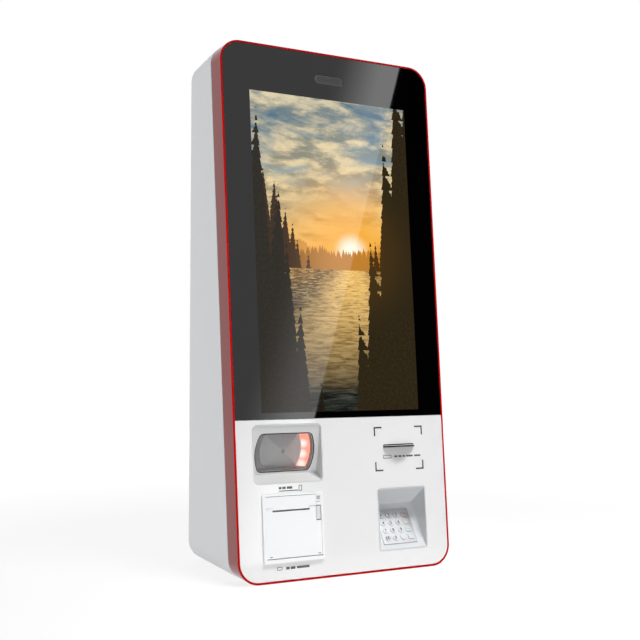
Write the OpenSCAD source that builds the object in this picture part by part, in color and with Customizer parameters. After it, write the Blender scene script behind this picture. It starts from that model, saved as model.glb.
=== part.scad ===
// Wall kiosk for card payment: leaning display door on a wedge-shaped cabinet.
// Millimetres. +Z up, +X to the viewer's right, front towards -Y, origin under the middle of the base.

/* [Cabinet] */
// Width over the side walls
kiosk_w = 524; // [514:1:534]
// Height over the top and bottom walls
kiosk_h = 1154; // [1146:1:1162]
// Depth at the top
depth_top = 170; // [166:1:180]
// Depth at the base
depth_base = 298; // [292:1:304]
// Outer radius of the four long corners
corner_r = 47; // [40:1:50]
// Thickness of the folded steel
sheet = 2; // [1.5:0.1:2.2]
// Width of the flange behind the rear panel
rear_flange = 16; // [12:1:20]

/* [Front door] */
// Depth of the coloured side band
band_d = 53; // [52:0.5:54]
// Width of the front lip of the band
lip_w = 4.2; // [3.6:0.1:5]
// Gap between the band and the cabinet
seam_gap = 1.5; // [1.5:0.1:1.8]
// Thickness of the glass and of the white panel
glass_t = 4; // [3:0.5:5]
// Height of the line between glass and white panel
split_u = 342; // [341:0.5:343]

/* [Display] */
// Width of the picture
screen_w = 392.9; // [385:0.1:394]
// Height of the picture
screen_h = 698.4; // [690:0.1:700]
// Height of the middle of the picture
screen_u = 705.7; // [704:0.1:707]
// Width of the pill-shaped speaker insert
pill_w = 73.2; // [60:0.1:80]
// Height of the pill-shaped speaker insert
pill_h = 19.7; // [16:0.1:24]
// Height of the middle of the insert
pill_u = 1100.7; // [1098:0.1:1103]

/* [Code scanner] */
// Width of the recess
scan_w = 159.5; // [156:0.5:162]
// Height of the recess
scan_h = 120.3; // [118:0.1:122]
// Side position of the middle of the recess
scan_x = -137.6; // [-139:0.1:-136]
// Height of the middle of the recess
scan_u = 269.4; // [268:0.1:271]
// Lean of the window against the front
scan_lean = 15.6; // [15:0.1:16]
// Depth of the recess at its upper edge
scan_top_d = 2.2; // [2:0.1:2.6]

/* [Receipt printer] */
// Width of the bezel
printer_w = 142; // [140:0.5:144]
// Height of the bezel
printer_h = 143.4; // [143:0.1:144]
// Side position of the middle of the bezel
printer_x = -133.4; // [-134:0.1:-132]
// Height of the middle of the bezel
printer_u = 113.8; // [113:0.1:114.5]
// How far the bezel stands proud of the panel
bezel_proud = 5; // [4:0.5:5]

/* [Card mouth] */
// Width of the mouth
card_w = 84.3; // [76:0.1:90]
// Height of the mouth
card_h = 8; // [7:0.1:10]
// Side position of the middle of the mouth
card_x = 140.6; // [138:0.1:143]
// Height of the middle of the mouth
card_u = 276.5; // [274:0.1:279]
// How far the mouth stands out
card_out = 20; // [14:0.5:22]

/* [Pin pad] */
// Width of the recess
pad_w = 121.5; // [119:0.5:124]
// Height of the recess
pad_h = 133.5; // [133:0.1:134]
// Side position of the middle of the recess
pad_x = 140.9; // [139:0.1:142]
// Height of the middle of the recess
pad_u = 113.4; // [113:0.1:114]
// Lean of the pin pad against the front
pad_lean = 30.5; // [30:0.1:31]
// Key spacing across
key_pitch_x = 20.1; // [19.5:0.1:20.4]
// Key spacing up the slope
key_pitch_s = 18.7; // [18.4:0.1:19]
// Key travel
key_travel = 1.5; // [0.8:0.1:1.5]

/* [Hidden] */
$fn = 48;

// Cabinet frame: lean of the front and the two reference planes
tilt = atan((depth_base - depth_top) / kiosk_h);
front_y = -depth_base / 2;
back_y = depth_base / 2;
half_w = kiosk_w / 2;
reach = 2000;
gap = 0.4;

// Depths into the front, from the tip of the lip
glass_d = 1;
panel_d = glass_d + glass_t;
frame_d = panel_d + sheet;
flange_d = band_d - 1;
lip_d = panel_d;
trim_wall = sheet + 0.2;
shell_d = band_d + seam_gap;
// Rims by which the sunk trays sit behind the door panel
rim_w = 8;
rim_d = frame_d + 2;

// Concealed hinge: pivot inside the left wall, behind the seam
pivot_x = -half_w + 14;
pivot_d = shell_d + 24;
hinge_us = [110, 1090];
pin_r = 3;
knuckle_r = 6.5;
knuckle_h = 31.4;
lug_h = 6;
arm_t = 8;
arm_reach = 34;

// Rear panel, wall bolts and mains pocket
panel_t = 2;
bolt_x = 300;
bolt_z = 700;
bolt_mid_z = 620;
bolt_r = 4.5;
pocket_x = 150;
pocket_z = 150;
pocket_w = 96;
pocket_h = 56;
pocket_d = 36;
pocket_y = back_y - pocket_d;
pocket_rim = 8;
inlet_x = pocket_x - 18;
rocker_x = pocket_x + 26;
rocker_tip = 8;
rocker_y = pocket_y + 3;

// Lock in the right wall
lock_u = 600;
lock_d = 76;
lock_r = 9.5;
plug_r = 6;
lock_len = 24;
cam_t = 3;
cam_len = 34;
cam_w = 14;

// Display module behind the glass
module_w = screen_w + 23;
module_h = screen_h + 23.6;

// Scanner recess and window
tray_t = 2;
scan_bottom = scan_u - scan_h / 2;
scan_top = scan_u + scan_h / 2;
scan_len = 107.5;
scan_foot = [scan_top_d + scan_len * sin(scan_lean), scan_top - scan_len * cos(scan_lean)];
tray_lap = tray_t * (1 - sin(scan_lean)) / cos(scan_lean);
window_w = 141;
window_h = 85;
window_side = 120;
window_r = 12;
window_down = 59.7;
window_t = 2;
bow = (window_w - window_side) / 2;
bow_r = (window_h * window_h / 4 + bow * bow) / (2 * bow);
window_back = 0.3 + window_t;
bar_inner = 20.5;
bar_outer = 5;
bar_top = 10;
bar_half_h = 37;
mirror_floor = 23;
mirror_top = 9;
mirror_w = 80;
mirror_h = 70;
lens_r = 4.7;
// Posts that carry the scanner on the tray
post_x = 75.5;
post_z = 20;
post_r = 3;

// Printer: opening of the bezel, tub, slot, platen and gears
bay_x = printer_x + 1.2;
bay_u = printer_u + 1.6;
bay_w = 130.4;
bay_h = 131.2;
bay_l = bay_x - bay_w / 2;
bay_r = bay_x + bay_w / 2;
bay_b = bay_u - bay_h / 2;
bay_t = bay_u + bay_h / 2;
bezel_d = glass_d - bezel_proud;
cover_d = bezel_d + 0.5;
cover_t = 2.5;
tub_w = bay_w + 1.2;
tub_t = 2;
roll_r = 43.5;
roll_d = 46.5;
roll_u = bay_b + roll_r + tub_t;
tub_top = bay_t - 1.2;
slot_l = bay_l + 16.2;
slot_r = bay_r - 28;
seam_u = bay_b + 106;
slot_u = bay_b + 99.2;
slot_gap = 2.3;
column_x = bay_r - 12;
pin_u = bay_b + 3;
cover_top_gap = 1;
pin_d = cover_d + 1.5;
door_t = 3;
stub_r = 0.75;
platen_d = 7.5;
platen_u = bay_b + 92.7;
platen_r = 6;
shaft_r = 2;
platen_l = slot_l + 2;
platen_e = slot_r - 2;
cheek_t = 2.5;
gear_w = 4;
platen_teeth = 12;
drive_teeth = 24;
gear_module = 1;
mesh_dist = gear_module * (platen_teeth + drive_teeth) / 2;
// The drive gear lies straight behind the platen on its way out
way_out = atan((platen_d - pin_d) / (platen_u - pin_u));
drive_d = platen_d + mesh_dist * cos(way_out);
drive_u = platen_u - mesh_dist * sin(way_out);
gear_x = platen_l - cheek_t - 2 - gear_w - 0.5;
motor_r = 9;
motor_len = 20;
lever_u = bay_b + 79.2;
lever_d = cover_d + 2.5;
lever_r = 2.5;
lever_pin_r = 1;
lever_w = 9.6;
lever_x = column_x + 0.6;
notch_u = lever_u - 4;
column_u = bay_t - 24;
button_side = 7.6;
button_x = (column_x + bay_r) / 2;
button_u = bay_t - 8.2;

// Card slot
slot_w = 56;
slot_h = 1.6;

// Pin pad recess and plate
hood_t = 2;
pad_bottom = pad_u - pad_h / 2;
pad_top = pad_u + pad_h / 2;
floor_d = 2.7;
floor_len = 113;
hood_lap = hood_t * (1 - sin(pad_lean)) / cos(pad_lean);
apex = [floor_d + floor_len * sin(pad_lean), pad_bottom + floor_len * cos(pad_lean)];
plate_x = pad_x - 2.9;
plate_s = 54;
plate_w = 88;
plate_h = 84;
plate_t = 2;
key_r = 6.8;
key_w = 13.6;
key_h = 12.6;
key_gap = 0.3;
key_proud = 1.2;
well_w = 82;
well_h = 76;

// Shapes that repeat

// Rounded rectangle of true arcs, centred
module rounded(w, h, r) {
    square([w - 2 * r, h], center = true);
    square([w, h - 2 * r], center = true);
    for (sx = [-1, 1], sy = [-1, 1])
        translate([sx * (w / 2 - r), sy * (h / 2 - r)]) circle(r);
}

// Bar with round ends, centred
module stadium(w, h) {
    square([w - h, h], center = true);
    for (sx = [-1, 1]) translate([sx * (w - h) / 2, 0]) circle(h / 2);
}

// Cabinet outline, set in all round, between two planes square to Y
module prism(inset, y0, y1) {
    translate([0, y1, kiosk_h / 2]) rotate([90, 0, 0]) linear_extrude(y1 - y0)
        rounded(kiosk_w - 2 * inset, kiosk_h - 2 * inset, corner_r - inset);
}

// Frame of the front: x across, y into the cabinet, z up the lean
module on_face() {
    translate([0, front_y, 0]) rotate([-tilt, 0, 0]) children();
}

// Flat outline (x, up) standing between two depths of the front
module face_plate(d0, d1) {
    on_face() translate([0, d1, 0]) rotate([90, 0, 0]) linear_extrude(d1 - d0) children();
}

// Side profile (depth, up) drawn across from x0 to x1
module side_plate(x0, x1) {
    on_face() translate([x0, 0, 0]) rotate([90, 0, 90]) linear_extrude(x1 - x0) children();
}

// All that lies between two depths of the front
module slab(d0, d1) {
    on_face() translate([-reach / 2, d0, -reach / 4]) cube([reach, d1 - d0, reach]);
}

// Rod across the front at a depth and a height
module cross_rod(x0, x1, d, u, r) {
    on_face() translate([x0, d, u]) rotate([0, 90, 0]) cylinder(h = x1 - x0, r = r);
}

// Frame of the scanner window, from the upper edge of its plane
module on_scan() {
    on_face() translate([scan_x, scan_top_d, scan_top]) rotate([scan_lean, 0, 0]) children();
}

// Frame of the pin pad, from the lower edge of the recess
module on_pad(x) {
    on_face() translate([x, floor_d, pad_bottom]) rotate([-pad_lean, 0, 0]) children();
}

// Outline (x, up the slope) on a leaning plane, between two depths under it
module sunk(d0, d1) {
    translate([0, d1, 0]) rotate([90, 0, 0]) linear_extrude(d1 - d0) children();
}

// Corner of a profile moved out by a wall, from the directions of its two sides
function side_normal(p, q) = let (v = (q - p) / norm(q - p)) [v[1], -v[0]];
function moved_corner(p, a, b, t) =
    let (m = side_normal(p, a), n = side_normal(b, p)) p + t * (m + n) / (1 + m * n);

// Window outline with bowed short sides
module barrel(grow) {
    offset(r = window_r + grow, $fn = 40) offset(delta = -window_r)
        intersection() {
            square([window_w, window_h], center = true);
            translate([window_w / 2 - bow_r, 0]) circle(bow_r, $fn = 160);
            translate([bow_r - window_w / 2, 0]) circle(bow_r, $fn = 160);
        }
}

// Spur gear outline with straight flanks
module gear_outline(teeth) {
    pitch_r = gear_module * teeth / 2;
    root_r = pitch_r - 1.25 * gear_module;
    tip_r = pitch_r + 0.9 * gear_module;
    quarter = 90 / teeth;
    polygon([for (i = [0 : teeth - 1], k = [[root_r, -1.3], [tip_r, -0.4], [tip_r, 0.4], [root_r, 1.3]])
        let (a = i * 360 / teeth + k[1] * quarter) k[0] * [cos(a), sin(a)]]);
}

// Cabinet

module cabinet_shell() {
    color("#dfe0e1") difference() {
        intersection() {
            prism(0, front_y, back_y);
            slab(shell_d, reach / 2);
        }
        prism(sheet, front_y - 1, back_y - panel_t - sheet);
        prism(sheet + rear_flange, front_y - 1, back_y + 1);
        prism(sheet, back_y - panel_t, back_y + 1);
        cross_rod(half_w - 10, half_w + 1, lock_d, lock_u, lock_r + 0.1);
    }
}

module vent_rows(z) {
    for (row = [0 : 6], sx = [-1, 1])
        translate([sx * 70, back_y + 1, z + row * 12]) rotate([90, 0, 0])
            linear_extrude(panel_t + 2) stadium(110, 5);
}

module back_panel() {
    color("#cfd1d3") difference() {
        prism(sheet + gap, back_y - panel_t, back_y);
        for (sx = [-1, 1], sz = [-1, 1])
            translate([sx * bolt_x / 2, back_y + 1, bolt_mid_z + sz * bolt_z / 2]) rotate([90, 0, 0])
                cylinder(h = panel_t + 2, r = bolt_r);
        vent_rows(1010);
        vent_rows(330);
        pocket_block(sheet + gap, back_y - panel_t - 1, back_y + 1);
    }
}

module hinge_brackets() {
    color("#9a9da0") for (u = hinge_us) on_face() translate([0, 0, u]) {
        translate([-half_w + sheet, pivot_d - 12, -26]) cube([3, 32, 52]);
        for (s = [-1, 1])
            translate([0, 0, s * (knuckle_h / 2 + 0.3 + lug_h / 2) - lug_h / 2]) linear_extrude(lug_h)
                difference() {
                    union() {
                        translate([pivot_x, pivot_d]) circle(knuckle_r);
                        translate([-half_w + sheet + 2, pivot_d - knuckle_r])
                            square([pivot_x + half_w - sheet - 2, 2 * knuckle_r]);
                    }
                    translate([pivot_x, pivot_d]) circle(pin_r + 0.02);
                }
    }
}

module hinge_pins() {
    pin_len = knuckle_h + 2 * lug_h + 3;
    color("#c3c6c9") for (u = hinge_us) on_face() translate([pivot_x, pivot_d, u - pin_len / 2]) {
        cylinder(h = pin_len, r = pin_r);
        translate([0, 0, pin_len - 1]) cylinder(h = 2.5, r = pin_r + 1.8);
    }
}

module power_supply() {
    box = [190, 44, 98];
    base = [-box[0] / 2, back_y - panel_t - box[1], 470];
    color("#b4b8bb") difference() {
        translate(base) cube(box);
        for (i = [0 : 10]) translate(base + [18 + i * 15, -1, 20]) cube([6, 4, 58]);
        translate(base + [box[0] - 26, -1, 12]) cube([30, 16, 74]);
    }
}

module computer_box() {
    box = [210, 34, 190];
    base = [-box[0] / 2, back_y - panel_t - box[1], 640];
    color("#3a3d40") {
        translate(base) cube(box);
        for (i = [0 : 13]) translate(base + [6 + i * 15, -9, 8]) cube([4, 9.5, 174]);
        for (sx = [-1, 1])
            translate([sx * (box[0] / 2 + 9) - 9.5, back_y - panel_t - 3, 660]) cube([19, 3, 150]);
    }
}

// Block over the mains pocket, grown all round, between two planes square to Y
module pocket_block(grow, y0, y1) {
    translate([pocket_x - pocket_w / 2 - grow, y0, pocket_z - pocket_h / 2 - grow])
        cube([pocket_w + 2 * grow, y1 - y0, pocket_h + 2 * grow]);
}

// Moulded pocket with the mains inlet and the switch frame in its floor
module power_inlet() {
    color("#26282a") difference() {
        union() {
            difference() {
                union() {
                    pocket_block(sheet, pocket_y - sheet, back_y);
                    pocket_block(sheet + pocket_rim, back_y - panel_t - sheet, back_y - panel_t);
                }
                pocket_block(0, pocket_y, back_y + 1);
            }
            translate([inlet_x - 25, pocket_y - 1, pocket_z - 15]) cube([50, 4, 30]);
            translate([inlet_x - 15, pocket_y - 22, pocket_z - 11]) cube([30, 23, 22]);
            translate([rocker_x - 12, pocket_y - 1, pocket_z - 15]) cube([24, 4, 30]);
            translate([rocker_x - 9.5, pocket_y - 18, pocket_z - 12.5]) cube([19, 19, 25]);
            translate([inlet_x + 20, pocket_y - 1, pocket_z - 15]) cube([rocker_x - inlet_x - 30, 4, 30]);
        }
        translate([inlet_x - 12.3, pocket_y - 15, pocket_z - 8.5]) cube([24.6, 20, 17]);
        translate([rocker_x - 6.9, pocket_y - 12, pocket_z - 10]) cube([13.8, 20, 20]);
        translate([rocker_x - 9, rocker_y - 4, pocket_z]) rotate([0, 90, 0]) cylinder(h = 18, r = 1.55);
    }
    color("#c9a24a") for (k = [[-7, 0], [7, 0], [0, 4]])
        translate([inlet_x + k[0] - 1, pocket_y - 16, pocket_z + k[1] - 2]) cube([2, 13, 4]);
}

module power_rocker() {
    color("#b3262b") translate([rocker_x, rocker_y - 4, pocket_z]) rotate([rocker_tip, 0, 0]) {
        translate([-6.6, 0, 0]) rotate([90, 0, 90]) linear_extrude(13.2)
            polygon([[-3, -5], [3, -9.2], [5.4, -9.2], [3.8, 0], [5.4, 9.2], [3, 9.2], [-3, 5]]);
        translate([-8.6, 0, 0]) rotate([0, 90, 0]) cylinder(h = 17.2, r = 1.5);
    }
}

module lock_body() {
    color("#b9bcbf") difference() {
        union() {
            cross_rod(half_w - lock_len, half_w, lock_d, lock_u, lock_r);
            on_face() translate([half_w - sheet - 6, lock_d, lock_u]) rotate([0, 90, 0])
                cylinder(h = 6, r = 13.5, $fn = 6);
        }
        cross_rod(half_w - lock_len - 1, half_w + 1, lock_d, lock_u, plug_r + 0.05);
    }
}

module lock_plug() {
    color("#d0d2d4") difference() {
        cross_rod(half_w - lock_len - 4, half_w - 0.5, lock_d, lock_u, plug_r);
        on_face() translate([half_w - 9, lock_d - 0.8, lock_u - 3.6]) cube([10, 1.6, 7.2]);
    }
}

module lock_cam() {
    color("#a5a8ab") side_plate(half_w - lock_len - 4 - cam_t, half_w - lock_len - 4)
        translate([lock_d, lock_u]) {
            circle(cam_w / 2);
            translate([0, -cam_w / 2]) square([cam_len - cam_w / 2, cam_w]);
            translate([cam_len - cam_w / 2, 0]) circle(cam_w / 2);
        }
}

// Front door

module trim_frame() {
    color("#c4161c") difference() {
        intersection() {
            prism(0, front_y, back_y);
            slab(0, band_d);
        }
        prism(lip_w, front_y - 1, back_y + 1);
        intersection() {
            prism(trim_wall, front_y - 1, back_y + 1);
            slab(lip_d, reach / 2);
        }
    }
}

// Openings that the panels behind the glass share
module scan_cut(grow) {
    translate([scan_x, scan_u]) rounded(scan_w + 2 * grow, scan_h + 2 * grow, 9.4 + grow);
}

module pad_cut(grow) {
    translate([pad_x, pad_u]) rounded(pad_w + 2 * grow, pad_h + 2 * grow, 3.5 + grow);
}

module bay_cut(grow) {
    translate([bay_x, bay_u]) square([tub_w + 2 * grow, tub_w + 2 * grow], center = true);
}

module card_cut(grow) {
    translate([card_x, card_u]) stadium(card_w + 2 * grow, card_h + 2 * grow);
}

module unit_cuts() {
    scan_cut(tray_t + gap);
    pad_cut(hood_t + gap);
    bay_cut(gap);
    card_cut(gap);
}

module door_frame() {
    color("#aeb1b4") difference() {
        intersection() {
            prism(trim_wall + gap, front_y - 1, back_y);
            slab(panel_d, flange_d);
        }
        intersection() {
            prism(trim_wall + gap + sheet, front_y - 1, back_y + 1);
            slab(frame_d, reach / 2);
        }
        face_plate(0, frame_d + 1) {
            translate([0, screen_u]) square([module_w + 1, module_h + 1], center = true);
            translate([0, pill_u]) stadium(pill_w + 2, pill_h + 2);
            unit_cuts();
        }
    }
}

module hinge_arms() {
    color("#8f9295") for (u = hinge_us) on_face() translate([pivot_x, pivot_d, u - knuckle_h / 2])
        linear_extrude(knuckle_h) difference() {
            union() {
                circle(knuckle_r);
                translate([0, -arm_t / 2]) square([arm_reach, arm_t]);
                translate([arm_reach, 0]) circle(arm_t / 2);
                translate([arm_reach - arm_t / 2, frame_d - pivot_d]) square([arm_t, pivot_d - frame_d]);
                translate([arm_reach - 22, frame_d - pivot_d]) square([22, 3]);
            }
            circle(pin_r + 0.05);
        }
}

module lock_strike() {
    lip = lock_d - cam_w / 2 - 1;
    color("#9a9da0") side_plate(half_w - 51, half_w - 40) translate([frame_d, lock_u + 6]) square([3, 34]);
    color("#9a9da0") side_plate(half_w - 40, half_w - 38) translate([frame_d, lock_u + 6])
        square([lip - frame_d, 34]);
    color("#9a9da0") side_plate(half_w - 38, half_w - 26) translate([lip - 3, lock_u + 6]) square([3, 34]);
}

module cover_glass() {
    color("#0b0b0c") difference() {
        intersection() {
            prism(lip_w + gap, front_y - 1, back_y);
            slab(glass_d, panel_d);
            face_plate(-1, panel_d + 1)
                translate([-half_w, split_u + gap]) square([kiosk_w, kiosk_h]);
        }
        face_plate(0, panel_d + 1) translate([0, pill_u]) stadium(pill_w, pill_h);
    }
}

module lower_fascia() {
    color("#eeeeee") difference() {
        intersection() {
            prism(lip_w + gap, front_y - 1, back_y);
            slab(glass_d, panel_d);
            face_plate(-1, panel_d + 1) translate([-half_w, -10]) square([kiosk_w, split_u + 10 - gap]);
        }
        face_plate(0, panel_d + 1) unit_cuts();
    }
}

module display_panel() {
    color("#26323f") face_plate(panel_d, panel_d + 4) translate([0, screen_u])
        square([module_w, module_h], center = true);
}

module display_back() {
    color("#b7babd") {
        face_plate(panel_d + 4, panel_d + 19) translate([0, screen_u])
            rounded(module_w - 16, module_h - 16, 6);
        face_plate(panel_d + 19, panel_d + 31) translate([0, screen_u - 80]) rounded(240, 280, 8);
        for (sx = [-1, 1]) face_plate(panel_d + 19, panel_d + 25) translate([sx * 165, screen_u])
            rounded(22, module_h - 90, 6);
    }
}

module speaker_grille() {
    hole = 1.1;
    pitch = 4.4;
    color("#6c6c6c") difference() {
        union() {
            face_plate(glass_d + 0.6, frame_d) translate([0, pill_u]) stadium(pill_w - gap, pill_h - gap);
            face_plate(panel_d, frame_d) translate([0, pill_u]) stadium(pill_w + 1.6, pill_h + 1.6);
        }
        face_plate(0, frame_d + 1) translate([0, pill_u])
            for (i = [-6 : 6], j = [-1 : 1]) translate([i * pitch, j * pitch]) circle(hole);
    }
}

module speaker() {
    color("#1d1e20") difference() {
        union() {
            face_plate(frame_d, frame_d + 24) translate([0, pill_u]) rounded(92, 36, 5);
            face_plate(frame_d, frame_d + 3) translate([0, pill_u]) stadium(124, 20);
        }
        on_face() translate([0, frame_d - 0.5, pill_u]) rotate([-90, 0, 0])
            cylinder(h = 9, r1 = 15, r2 = 6);
    }
}

// Code scanner

// Inside of the scanner recess, seen from the side
scan_profile = [
    [-2, scan_bottom], [glass_d, scan_bottom], scan_foot, [scan_top_d, scan_top], [-2, scan_top]
];

module scanner_tray() {
    foot = moved_corner(scan_foot, [scan_top_d, scan_top], [glass_d, scan_bottom], tray_t);
    color("#e2e3e4") face_plate(frame_d, rim_d) difference() {
        scan_cut(tray_t + rim_w);
        scan_cut(tray_t);
    }
    color("#e2e3e4") difference() {
        intersection() {
            face_plate(glass_d, reach / 4) scan_cut(tray_t);
            side_plate(scan_x - scan_w / 2 - tray_t, scan_x + scan_w / 2 + tray_t)
                polygon([[glass_d, scan_bottom - tray_t], [glass_d + 2, scan_bottom - tray_t], foot,
                    [scan_top_d + tray_lap, scan_top + tray_t], [glass_d, scan_top + tray_t]]);
        }
        intersection() {
            face_plate(-2, reach / 4) scan_cut(0);
            side_plate(scan_x - scan_w / 2, scan_x + scan_w / 2) polygon(scan_profile);
        }
        on_scan() translate([0, 0, -window_down]) sunk(-3, 9) barrel(gap);
    }
}

module scanner_window() {
    color("#6f6f6f") on_scan() translate([0, 0, -window_down]) sunk(0.3, window_back) barrel(0);
}

module scanner_reflector() {
    color("#8a8a8a") on_scan() translate([0, 0, -window_down]) difference() {
        union() {
            difference() {
                sunk(window_back, mirror_floor + 3) barrel(-1);
                sunk(window_back - 1, mirror_floor) barrel(-3);
            }
            hull() {
                sunk(mirror_floor, mirror_floor + 0.1) square([mirror_w, mirror_h], center = true);
                sunk(mirror_top, mirror_top + 0.1) square([15, 12], center = true);
            }
        }
        translate([0, mirror_top - 1, 0]) rotate([-90, 0, 0])
            cylinder(h = 2 * mirror_floor, r = lens_r + 0.3);
    }
}

// Bowed lamp bar beside the mirror, with a face that slants inwards
module scanner_led_bars() {
    color("#ff5a3c") on_scan() translate([0, 0, -window_down]) for (sx = [-1, 1]) intersection() {
        translate([sx * (window_w / 2 - bow_r), 0, 0]) rotate([-90, 0, 0]) rotate_extrude()
            polygon([
                [bow_r - bar_inner, mirror_floor - 3], [bow_r - bar_outer, bar_top],
                [bow_r - bar_outer, mirror_floor], [bow_r - bar_inner, mirror_floor]
            ]);
        translate([sx * window_w / 2, 0, 0]) cube([80, 80, 2 * bar_half_h], center = true);
    }
}

module scanner_body() {
    back = mirror_floor + 3;
    color("#2e3032") on_scan() translate([0, 0, -window_down]) {
        sunk(back, back + 30) rounded(124, 74, 5);
        sunk(back, back + 3) rounded(2 * (post_x + post_r) + 2, 2 * (post_z + post_r) + 4, 4);
        for (sx = [-1, 1], sz = [-1, 1]) translate([sx * post_x, 0, sz * post_z])
            sunk(tray_t, back + 1) circle(post_r);
        sunk(back + 30, back + 36) rounded(70, 40, 4);
        translate([0, mirror_top + 0.6, 0]) rotate([-90, 0, 0]) difference() {
            cylinder(h = back - mirror_top, r = lens_r);
            translate([0, 0, -1]) cylinder(h = 3, r = lens_r - 1.5);
        }
    }
}

// Receipt printer

module printer_bezel() {
    color("#f2f2f3") difference() {
        union() {
            face_plate(bezel_d, glass_d) difference() {
                translate([printer_x, printer_u]) rounded(printer_w, printer_h, 2.5);
                translate([bay_x, bay_u]) square([bay_w, bay_h], center = true);
            }
            face_plate(cover_d, cover_d + cover_t) difference() {
                translate([column_x, column_u]) square([bay_r - column_x + 1, bay_t - column_u + 1]);
                translate([button_x, button_u]) square(button_side + 0.8, center = true);
                for (sx = [-1, 1]) translate([button_x + sx * 2.4, button_u - 8.6])
                    square([3.4, 1.6], center = true);
            }
            cross_rod(lever_x + 1, bay_r + 1, lever_d, lever_u, lever_pin_r);
        }
        cross_rod(bay_l - 3, bay_l + 1, pin_d, pin_u, stub_r + 0.05);
        cross_rod(bay_r - 1, bay_r + 3, pin_d, pin_u, stub_r + 0.05);
    }
}

module printer_cover() {
    color("#f4f4f5") {
        face_plate(cover_d, cover_d + cover_t) {
            translate([bay_l + gap, seam_u + 0.6])
                square([column_x - bay_l - 2 * gap, bay_t - seam_u - 0.6 - cover_top_gap]);
            translate([slot_l, slot_u + slot_gap])
                square([slot_r - slot_l, seam_u - slot_u - slot_gap + 1]);
        }
        face_plate(cover_d + cover_t, glass_d)
            translate([bay_l + gap, tub_top - tub_t]) square([column_x - bay_l - 2 * gap, tub_t]);
    }
}

module tub_profile(grow) {
    translate([roll_d, roll_u]) circle(roll_r + grow);
    translate([-2 * grow + glass_d, roll_u])
        square([60 + 3 * grow, tub_top - tub_t + grow - roll_u]);
    translate([-2 * grow + glass_d, roll_u - roll_r - grow])
        square([roll_d + 2 * grow, tub_top - tub_t + 2 * grow - roll_u + roll_r]);
}

module printer_bucket() {
    color("#45484b") difference() {
        intersection() {
            side_plate(bay_x - tub_w / 2, bay_x + tub_w / 2) tub_profile(tub_t);
            slab(glass_d, reach / 2);
        }
        side_plate(bay_x - tub_w / 2 + tub_t, bay_x + tub_w / 2 - tub_t) tub_profile(0);
        slab(-reach / 4, glass_d);
    }
}

module print_head() {
    head_d = platen_d + platen_r + 0.3;
    color("#8d6f4a") face_plate(head_d, head_d + 2.2)
        translate([platen_l + 3, platen_u - 8])
            square([platen_e - platen_l - 6, tub_top - tub_t - platen_u + 8]);
    color("#b7babd") face_plate(head_d + 2.2, head_d + 9)
        translate([platen_l + 26, platen_u + 12]) square([platen_e - platen_l - 30, 12]);
}

module tear_blade() {
    pitch = 2.7;
    count = 32;
    color("#c9cccf") face_plate(cover_d + cover_t, cover_d + cover_t + 0.8)
        translate([slot_l, slot_u + slot_gap]) polygon(concat(
            [[count * pitch, 6], [0, 6]],
            [for (i = [0 : count - 1], k = [[0, 0], [0.5, -0.8]]) [(i + k[0]) * pitch, k[1] + 0.6]],
            [[count * pitch, 0.6]]
        ));
}

module feed_motor() {
    flange_x = platen_l + 0.6;
    color("#7d8185") difference() {
        union() {
            cross_rod(flange_x + 1.5, flange_x + motor_len, drive_d, drive_u, motor_r);
            side_plate(flange_x, flange_x + 1.5) {
                translate([drive_d, drive_u]) circle(motor_r);
                translate([drive_d - motor_r, drive_u]) square([2 * motor_r, tub_top - tub_t - drive_u]);
            }
        }
        cross_rod(flange_x - 1, flange_x + 9, drive_d, drive_u, 1.55);
    }
}

module drive_gear() {
    color("#e6e2d6") {
        side_plate(gear_x, gear_x + gear_w) translate([drive_d, drive_u]) rotate(180 - way_out)
            gear_outline(drive_teeth);
        cross_rod(gear_x + gear_w / 2, platen_l + 9, drive_d, drive_u, 1.5);
    }
}

module printer_door() {
    left = bay_l + gap;
    right = bay_r - gap;
    notch = column_x - gap;
    top = seam_u - 0.2;
    color("#f4f4f5") difference() {
        union() {
            face_plate(cover_d, cover_d + door_t) difference() {
                translate([left, pin_u]) square([right - left, top - pin_u]);
                translate([notch, notch_u]) square([right - notch + 1, top]);
                translate([slot_l - gap, slot_u]) square([slot_r - slot_l + 2 * gap, top]);
            }
            cross_rod(left, right, pin_d, pin_u, 1.5);
            cross_rod(left - 2.2, right + 2.2, pin_d, pin_u, stub_r);
            for (x = [platen_l - cheek_t - 1, platen_e + 1]) side_plate(x, x + cheek_t) {
                translate([platen_d, platen_u]) circle(5);
                translate([cover_d + 1, platen_u - 22]) square([platen_d - cover_d - 1, 27]);
            }
            for (i = [1 : 3]) side_plate(left + i * 32, left + i * 32 + 1.6)
                translate([cover_d + 1, pin_u + 6]) square([5, 62]);
        }
        cross_rod(platen_l - 10, platen_e + 10, platen_d, platen_u, shaft_r + 0.05);
    }
}

module platen_shaft() {
    color("#c3c6c9") cross_rod(gear_x - 0.5, platen_e + cheek_t + 2.5, platen_d, platen_u, shaft_r);
}

module platen_roller() {
    color("#303234") difference() {
        cross_rod(platen_l, platen_e, platen_d, platen_u, platen_r);
        cross_rod(platen_l - 1, platen_e + 1, platen_d, platen_u, shaft_r);
    }
}

module platen_gear() {
    color("#e6e2d6") side_plate(gear_x, gear_x + gear_w) translate([platen_d, platen_u])
        difference() {
            rotate(-way_out + 180 / platen_teeth) gear_outline(platen_teeth);
            circle(shaft_r);
        }
}

module open_lever() {
    color("#e9eaeb") side_plate(lever_x, lever_x + lever_w) difference() {
        union() {
            translate([lever_d, lever_u]) circle(lever_r);
            translate([cover_d, lever_u]) square([door_t, 26.4]);
            translate([cover_d + door_t - 0.5, lever_u + 18]) square([4.5, 3]);
        }
        translate([lever_d, lever_u]) circle(lever_pin_r + 0.05);
    }
}

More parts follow.
